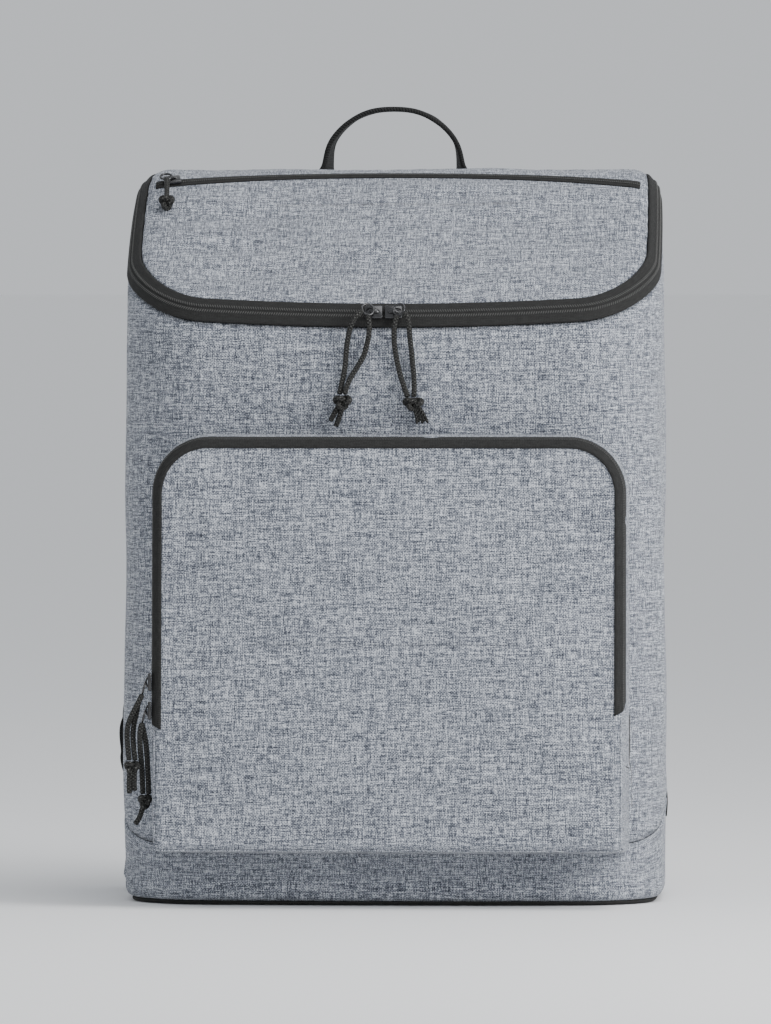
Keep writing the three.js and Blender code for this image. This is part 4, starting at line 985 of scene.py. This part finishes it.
# Strap buckles
# Moulded black ladder locks: a plate with two slots for the webbing.
buckle_size, slot_height, slot_margin = (36.0, 24.0, 6.0), 4.8, 0.9
plastic, plastic_shader, plastic_shade = new_material("black_plastic")
grain = speckle(plastic_shade, 1800.0, 2.0)
plug(plastic_shader, grain.mix((0.012, 0.012, 0.012, 1), (0.03, 0.03, 0.03, 1)), "Base Color")
bumped(plastic_shader, plastic_shade, grain, 0.00005, 0.4)
plastic_shader.inputs["Roughness"].default_value = 0.42


def placed(piece, origin, x_axis, y_axis, z_axis):
    """Moves a piece that was modelled at the world's origin into its own place, in millimetres."""
    turn = Matrix((x_axis, y_axis, z_axis)).transposed().to_4x4()
    piece.data.transform(Matrix.Translation(Vector(origin) / 1000) @ turn)


def block(name, size, middle=(0, 0, 0)):
    """A box made of a cube, with its size and middle in millimetres."""
    bpy.ops.mesh.primitive_cube_add(size=0.001, location=Vector(middle) / 1000, scale=size)
    bpy.ops.object.transform_apply(location=True, rotation=True, scale=True)
    bpy.context.object.name = name
    return bpy.context.object


def strap_end(side):
    before, last = (strap_point(side, *row) for row in strap_rows[-2:])
    towards = last - before
    return last, towards / np.linalg.norm(towards)


slots_above = (slot_height * slot_margin, buckle_size[1] - slot_height * (1 + slot_margin))
for name, side in [("left", -1), ("right", 1)]:
    buckle = block(f"buckle_{name}", buckle_size)
    for low in (slot - buckle_size[1] / 2 for slot in slots_above):
        cutter = block("slot", (25, slot_height, 20), (0, low + slot_height / 2, 0))
        modify(buckle, "BOOLEAN", operation="DIFFERENCE", object=cutter)
        bpy.data.objects.remove(cutter)
    modify(buckle, "BEVEL", width=0.001, segments=3, limit_method="ANGLE")
    end, towards = strap_end(side)
    up = Vector(-towards)
    out = (Vector((0, 1, 0)) - up * up.y).normalized()
    middle = end + towards * (seam_gap + buckle_size[1] / 2)
    placed(buckle, middle, up.cross(out), up, out)
    finish_piece(buckle, plastic, "buckle_plastic", f"strap_buckle_{name}")
    modify(buckle, "WEIGHTED_NORMAL")

# Strap webbing
# Black webbing from each buckle, past the bag's side and back to its lower corner.
webbing_width, webbing_thickness, anchor_height = 25.0, 2.0, 42.0
corner_step = 90 / 5
webbing_sides = [("left", -1, 17.7, 2 * corner_step), ("right", 1, 0, 3 * corner_step)]
webbing_rows = [(0.72, 0.27, 0.348, 10, 0.1), (0.846, 0.26, 0.308, 40, 0.4),
                (0.932, 0.26, 0.272, 70, 0.9), (0.965, 0.23, 0.225, 90, 1), (0.936, 0.1, 0.178, 106, 0.97)]


def back_corner(turn, inset):
    """A point of the right back corner at a turn in degrees, and the way out from it."""
    x, y = arc_point(1, 1, outline_corners[1][2], turn, inset)
    x *= 1 + side_belly * (1 - (y / half_depth) ** 2) / half_width
    return np.array([x, y])


def corner_out(turn):
    chord = back_corner(turn + corner_step, 0) - back_corner(turn - corner_step, 0)
    return np.array([chord[1], -chord[0]]) / np.linalg.norm(chord)


for name, side, swing, anchor_turn in webbing_sides:
    end, towards = strap_end(side)
    anchor_out = corner_out(anchor_turn)
    centres = [end + towards * (buckle_size[1] + past) for past in (2 * seam_gap, webbing_width / 5)]
    acrosses = [(side, 0, 0)] * 2
    for out, off, height, angle, swung in webbing_rows:
        centres.append(strap_point(side, out, off, height) + np.array([side * swing * swung, 0, 0]))
        acrosses.append((side * math.cos(math.radians(angle)), math.sin(math.radians(angle)), 0))
    corner = back_corner(anchor_turn, float(wall_inset(anchor_height)))
    corner = corner + anchor_out * (seam_gap + webbing_thickness)
    for z in (anchor_height + seam_gap + webbing_width / 2, anchor_height + seam_gap):
        centres.append(np.array([side * corner[0], corner[1], z]))
        acrosses.append((-side * anchor_out[1], anchor_out[0], 0))
    section = webbing_section(webbing_width, webbing_thickness)
    webbing = band(f"webbing_{name}", centres, acrosses, section, 110)
    finish_piece(webbing, webbing_cloth, "webbing", f"strap_webbing_{name}")

# Strap anchors
# A folded wedge of melange cloth in each lower back corner holds the end of the webbing.
anchor_fold, anchor_ground, anchor_lengths = 3.0, 2.0, (20.0, 15.0)
anchor_heights, anchor_reaches = (0, 0.12, 0.45, 1), (0.8, 1, 0.88, 0.3)
side_shares = (0.2, 0.4, 0.6, 0.8)
for (name, side, _, anchor_turn), anchor_length in zip(webbing_sides, anchor_lengths):
    anchor_out = corner_out(anchor_turn)
    rings, turns_in = [], np.linspace(anchor_turn + 2 * corner_step, anchor_turn - corner_step, 9)
    for height in np.linspace(0, 1, 16):
        reach = anchor_length * float(np.interp(height, anchor_heights, anchor_reaches))
        seam = base_fillet + (anchor_height - base_fillet) * height
        tip_height = anchor_ground + (anchor_height - anchor_ground) * height
        inset = float(wall_inset(seam))
        tip = back_corner(anchor_turn, inset)
        ring = [(*back_corner(turn, inset - seam_gap), seam) for turn in turns_in]
        sides = [np.array(ring[-1]), np.array(ring[0])]
        folds = []
        for sideways in np.linspace(-0.5, 0.5, 5) * anchor_fold:
            rounded = reach - (abs(sideways) / anchor_fold * 2) ** 2 * 1.2
            x = tip[0] + anchor_out[0] * rounded - anchor_out[1] * sideways
            y = tip[1] + anchor_out[1] * rounded + anchor_out[0] * sideways
            folds.append(np.array([x, y, tip_height]))
        ring += [tuple(sides[0] + (folds[0] - sides[0]) * share) for share in side_shares]
        ring += [tuple(fold) for fold in folds]
        ring += [tuple(folds[-1] + (sides[1] - folds[-1]) * share) for share in side_shares]
        rings.append(ring)
    rings = np.array(rings) * np.array([side, 1, 1])
    up = np.linspace(0, anchor_height, len(rings))
    anchor_uv = cloth_uv(run_round(rings[3])[None, :], up[:, None])
    anchor = cloth_panel(f"anchor_cloth_{name}", rings, anchor_uv)
    close_ends(anchor)
    finish_piece(anchor, melange, "melange_fabric", f"strap_anchor_{name}")

# Zip pulls
# Dark metal sliders, each with a bridge and a wire ring. Every ring carries a knotted loop of cord.
slider_length, slider_width, slider_plate, bridge_height = 10.0, 8.0, 2.0, 3.4
ring_radius, ring_wire, bridge_wall = 3.4, 1.2, 1.2
metal, metal_shader, metal_shade = new_material("dark_metal")
metal_noise = speckle(metal_shade, 900.0, 3.0)
plug(metal_shader, metal_noise.mix((0.018, 0.018, 0.019, 1), (0.05, 0.05, 0.053, 1)), "Base Color")
plug(metal_shader, metal_noise * 0.2 + 0.08, "Roughness")
metal_shader.inputs["Metallic"].default_value = 0.6
metal_shader.inputs["Coat Weight"].default_value = 0.5
metal_shader.inputs["Coat Roughness"].default_value = 0.15


def on_lid_zip(x, run, lift):
    """The lid zip's surface at a given width along the front."""
    front = np.flatnonzero(rim_out[:, 1] < -0.9)
    front = front[np.argsort(rim_x[front])]
    points = skin(front, run, lift)
    return np.array([np.interp(x, rim_x[front], points[:, k]) for k in range(3)])


def pocket_zip_point(z, lift, seat=1.05):
    return pocket_skin(lambda inset: (np.array([inset - pocket_half_width]), np.array([z])), seat, lift)[0]


def lid_pocket_point(x, lift=0.0):
    return on_lid(np.array([x]), np.array([pocket_line(x)]), lift)[0]


coil_lift, narrow_lift, pocket_lift = 0.8 + seam_gap, 1.0 + 2 * seam_gap, 1.2 + 2 * seam_gap
half_tape = tape_width / 2
pulls = [
    ("main_left", lambda up: on_lid_zip(-9, half_tape, coil_lift + up), (1, 0, 0), -1, 20),
    ("main_right", lambda up: on_lid_zip(2, half_tape, coil_lift + up), (1, 0, 0), 1, 20),
    ("lid_pocket", lambda up: lid_pocket_point(-129, narrow_lift + up),
     lid_pocket_point(-128) - lid_pocket_point(-129), -1, 0),
    ("pocket_upper", lambda up: pocket_zip_point(127, pocket_lift + up), (0, 0, 1), -1, 15),
    ("pocket_lower", lambda up: pocket_zip_point(111, pocket_lift + up), (0, 0, 1), -1, 15),
]
for name, seat_at, along, towards, lift in pulls:
    seat = seat_at(0)
    out = Vector(seat_at(1) - seat).normalized()
    along = Vector(along)
    along = (along - out * along.dot(out)).normalized()
    across = along.cross(out)
    plate_size = (slider_length, slider_plate, slider_width)
    plate = block(f"slider_plate_{name}", plate_size, (0, slider_plate / 2, 0))
    in_edit(plate, (bpy.ops.mesh.bevel, {"offset": 0.0008, "segments": 3}))
    bpy.ops.mesh.primitive_torus_add(major_radius=bridge_height / 1000, minor_radius=bridge_wall / 2000,
                                     major_segments=28, minor_segments=10)
    bridge = bpy.context.object
    bridge.name = f"slider_bridge_{name}"
    in_edit(bridge, (bpy.ops.transform.resize, {"value": (1.05, 0.86, 2.0)}),
            (bpy.ops.mesh.bisect, {"plane_co": (0, 0, 0), "plane_no": (0, 1, 0), "clear_inner": True}),
            (bpy.ops.transform.translate, {"value": (0, slider_plate / 1000 - 0.0002, 0)}))
    bpy.ops.mesh.primitive_torus_add(major_radius=ring_radius / 1000, minor_radius=ring_wire / 2000,
                                     major_segments=36, minor_segments=12)
    wire = bpy.context.object
    wire.name = f"ring_wire_{name}"
    height = slider_plate + (seam_gap + bridge_height - bridge_wall) / 2
    wire.data.transform(Matrix.Translation((0, height / 1000, 0))
                        @ Matrix.Rotation(towards * math.radians(lift), 4, "Z")
                        @ Matrix.Translation((towards * ring_radius / 1000, 0, 0))
                        @ Matrix.Rotation(math.pi / 2, 4, "X"))
    for piece, node in [(plate, f"slider_{name}"), (bridge, f"slider_{name}"), (wire, f"pull_ring_{name}")]:
        placed(piece, seat, along, out, across)
        finish_piece(piece, metal, "dark_metal", node)

# Pull cords
# Braided cord, 3 mm thick, in a loop through each ring. The two legs hang against the cloth to a knot.
cord_radius = 1.5
cord_cloth, cord_shader, cord_shade = new_material("braided_cord")
_, cord_along, cord_round = cloth_axes(cord_shade)
lay = cord_along * (2 * math.pi / 0.0022)
turn = cord_round * (4 / (cord_radius / 1000))
braid = (lay + turn).math("SINE").math("MAXIMUM", (lay - turn).math("SINE"))
fleck = (cord_along * (2 * math.pi / 0.0017)).math("SINE")
fleck = fleck * (cord_round * (3 / (cord_radius / 1000))).math("SINE")
fibre = speckle(cord_shade, 2200.0, 2.0)
cord_tone = braid * 0.08 + fibre * 0.2 + (fleck - 0.5).math("MAXIMUM", 0.0) * 1.1 - 0.06
cord_tone = cord_tone.math("ADD", 0.0, clamp=True)
plug(cord_shader, cord_tone.mix((0.009, 0.009, 0.009, 1), (0.19, 0.19, 0.175, 1)), "Base Color")
bumped(cord_shader, cord_shade, braid, 0.0004, 0.9)
cord_shader.inputs["Roughness"].default_value = 0.75
cord_shader.inputs["Specular IOR Level"].default_value = 0.3

cord_routes = {
    "main_left": ([(-15.6, -94.6, 333.8), (-18.6, -96.9, 331.5), (-20.9, -97, 327.1), (-22.6, -95.5, 322.1),
                   (-24.1, -93.6, 313.1), (-25, -93, 303.1), (-26.6, -93.6, 294.1), (-27.9, -95.2, 288.1)],
                  [(-12.1, -94.5, 331.2), (-11.3, -96, 326.3), (-11.5, -95.8, 320.5), (-12.8, -94.3, 314.8),
                   (-14.5, -93.6, 309.1), (-18.5, -93.6, 302.1), (-22.1, -94.9, 296.1), (-24.2, -96.4, 290.6),
                   (-24.8, -96.8, 288)]),
    "main_right": ([(4, -94.2, 331.2), (2.9, -95.7, 326.3), (2.6, -95.4, 321), (2.8, -94.2, 315.1),
                    (4, -93.2, 307.1), (6.1, -93.6, 298.1), (8.6, -95.2, 290.6), (10.2, -96.2, 286.4)],
                   [(8.4, -94.9, 332.9), (10.3, -96.9, 330.2), (11.1, -96.8, 324.1), (11.6, -94.8, 318.1),
                    (12.6, -93.2, 308.1), (13.6, -93.2, 298.1), (13.9, -94.6, 290.6), (13.7, -95.6, 286.6)]),
    "pocket_upper": ([(-137.6, -119.5, 119.4), (-139.7, -119.6, 115), (-142.6, -118.6, 109.5),
                      (-144.9, -117.4, 104), (-145.9, -116.4, 98.5), (-145.7, -116, 92), (-144.8, -116, 83.6)],
                     [(-137.6, -116.1, 119.4), (-139.6, -116.1, 115), (-140.6, -115.9, 109.5),
                      (-141.9, -115.9, 104), (-142.6, -116, 98.5), (-142.4, -116, 92), (-141.5, -116, 83.5)]),
    "pocket_lower": ([(-137.6, -120.6, 103.4), (-138.4, -119.8, 98.5), (-138.6, -117, 91.5),
                      (-137.9, -112.8, 79), (-137.4, -112.4, 64.5)],
                     [(-137.6, -117.1, 103.4), (-136.4, -116.9, 98.5), (-135.3, -115.6, 91.5),
                      (-134.6, -113, 79), (-134.1, -112.4, 64.4)]),
}
lid_knot = on_lid(np.array([-130.5]), np.array([-5.0]), 4.9)[0]
lid_stub = [on_lid(np.array([x]), np.array([y]), lift)[0]
            for x, y, lift in ((-131.5, 14.4, 5), (-131.2, 7.8, 5.3))]
knots = {
    "main_left": ((-26.3, -96.2, 283.2), (5.4, 4.6, 4.4),
                  [[(-28.5, -95.2, 281), (-31, -94, 276.5), (-32.9, -93.6, 273)],
                   [(-26.5, -95.2, 280), (-28.2, -94.2, 274.5), (-29.9, -93.8, 270)]]),
    "main_right": ((13.4, -96.2, 282.3), (6, 4.6, 4),
                   [[(14, -95.4, 280), (16, -94.2, 274.5), (16.6, -93.8, 271.3)],
                    [(16, -95.4, 280), (19, -94.4, 275), (20.3, -94, 271.6)]]),
    "pocket_upper": ((-143.2, -116, 79), (4.5, 4.2, 4.3),
                     [[(-144.4, -116, 77), (-144.7, -116, 70), (-144.6, -116, 65)],
                      [(-141.8, -116, 77), (-142, -116, 71), (-141.8, -116, 66.5)]]),
    "pocket_lower": ((-136.2, -112.4, 60), (4.1, 4.1, 4.4),
                     [[(-137.1, -112.4, 57.5), (-139.2, -112.4, 51), (-141.4, -112.4, 47.5)]]),
    "lid_pocket": (tuple(lid_knot), (4.6, 4.6, 4.6), [[*lid_stub, tuple(lid_knot)]]),
}
frayed_knot, strand_radius = "main_right", 0.75
for name, (centre, half, tails) in knots.items():
    tail_radius = cord_radius
    turns = np.linspace(0, 2 * math.pi, 90)
    loop = np.stack([np.sin(turns) + 2 * np.sin(2 * turns), -1.3 * np.sin(3 * turns),
                     np.cos(turns) - 2 * np.cos(2 * turns)], axis=1)
    loop *= (np.array(half) - cord_radius) / np.array([2.6, 1.3, 2.6])
    pieces = [tube(f"tied_knot_{name}", loop + np.array(centre), cord_radius)]
    if name == frayed_knot:
        tail_radius = strand_radius
        ends, strands = np.array(tails), np.linspace(-0.3, 1.3, 7)
        tails = [ends[0] + (ends[1] - ends[0]) * share + [0, 0.4 * (k % 2), 0.9 * (k % 3)]
                 for k, share in enumerate(strands)]
    for k, tail in enumerate(tails):
        path = route(tail, np.linspace(0, 1, 12))
        pieces.append(tube(f"knot_tail_{name}_{k + 1}", path, tail_radius))
    for piece in pieces:
        finish_piece(piece, cord_cloth, "cord", f"knot_{name}")
for name, legs in cord_routes.items():
    for leg, points in zip("ab", legs):
        path = route(points, np.linspace(0, 1, 8 * len(points)))
        piece = tube(f"pull_{name}_{leg}", path, cord_radius)
        finish_piece(piece, cord_cloth, "cord", f"cord_{name}_{leg}")
        tuple(path[0] / 1000)
        (path / 1000).tolist()

# Studio
# A pale floor, open on all sides, under a pale sky, with three soft lights: close by on the right, above
# and far in front.
floor_radius, sky_strength, lit_point = 60.0, 0.7, (0, 0, 0.2)
vertices = [(floor_radius * math.cos(a), floor_radius * math.sin(a), 0.0)
            for a in np.radians(range(0, 360, 10))]
floor_mesh = bpy.data.meshes.new("floor")
floor_mesh.from_pydata(vertices, [], [tuple(range(len(vertices)))])
floor = bpy.data.objects.new("floor", floor_mesh)
bpy.context.scene.collection.objects.link(floor)
paper, paper_shader, _ = new_material("white_paper")
paper_shader.inputs["Base Color"].default_value = (0.95, 0.95, 0.95, 1)
paper_shader.inputs["Roughness"].default_value = 0.9
floor_mesh.materials.append(paper)
lamps = [("key", (1.2, -0.85, 0.75), 0.7, 16), ("front", (1.2, -4.4, 0.9), 2.4, 8),
         ("top", (0.8, -0.7, 2.4), 1.6, 26)]
for name, place, size, power in lamps:
    aim = (Vector(place) - Vector(lit_point)).to_track_quat("Z", "Y").to_euler()
    bpy.ops.object.light_add(type="AREA", location=place, rotation=aim)
    light = bpy.context.object
    light.name = f"light_{name}"
    light.data.shape = "SQUARE"
    light.data.size = size
    light.data.energy = power
world = bpy.data.worlds.new("studio")
world.use_nodes = True
world.node_tree.nodes["Background"].inputs["Color"].default_value = (0.93, 0.96, 1, 1)
world.node_tree.nodes["Background"].inputs["Strength"].default_value = sky_strength
bpy.context.scene.world = world
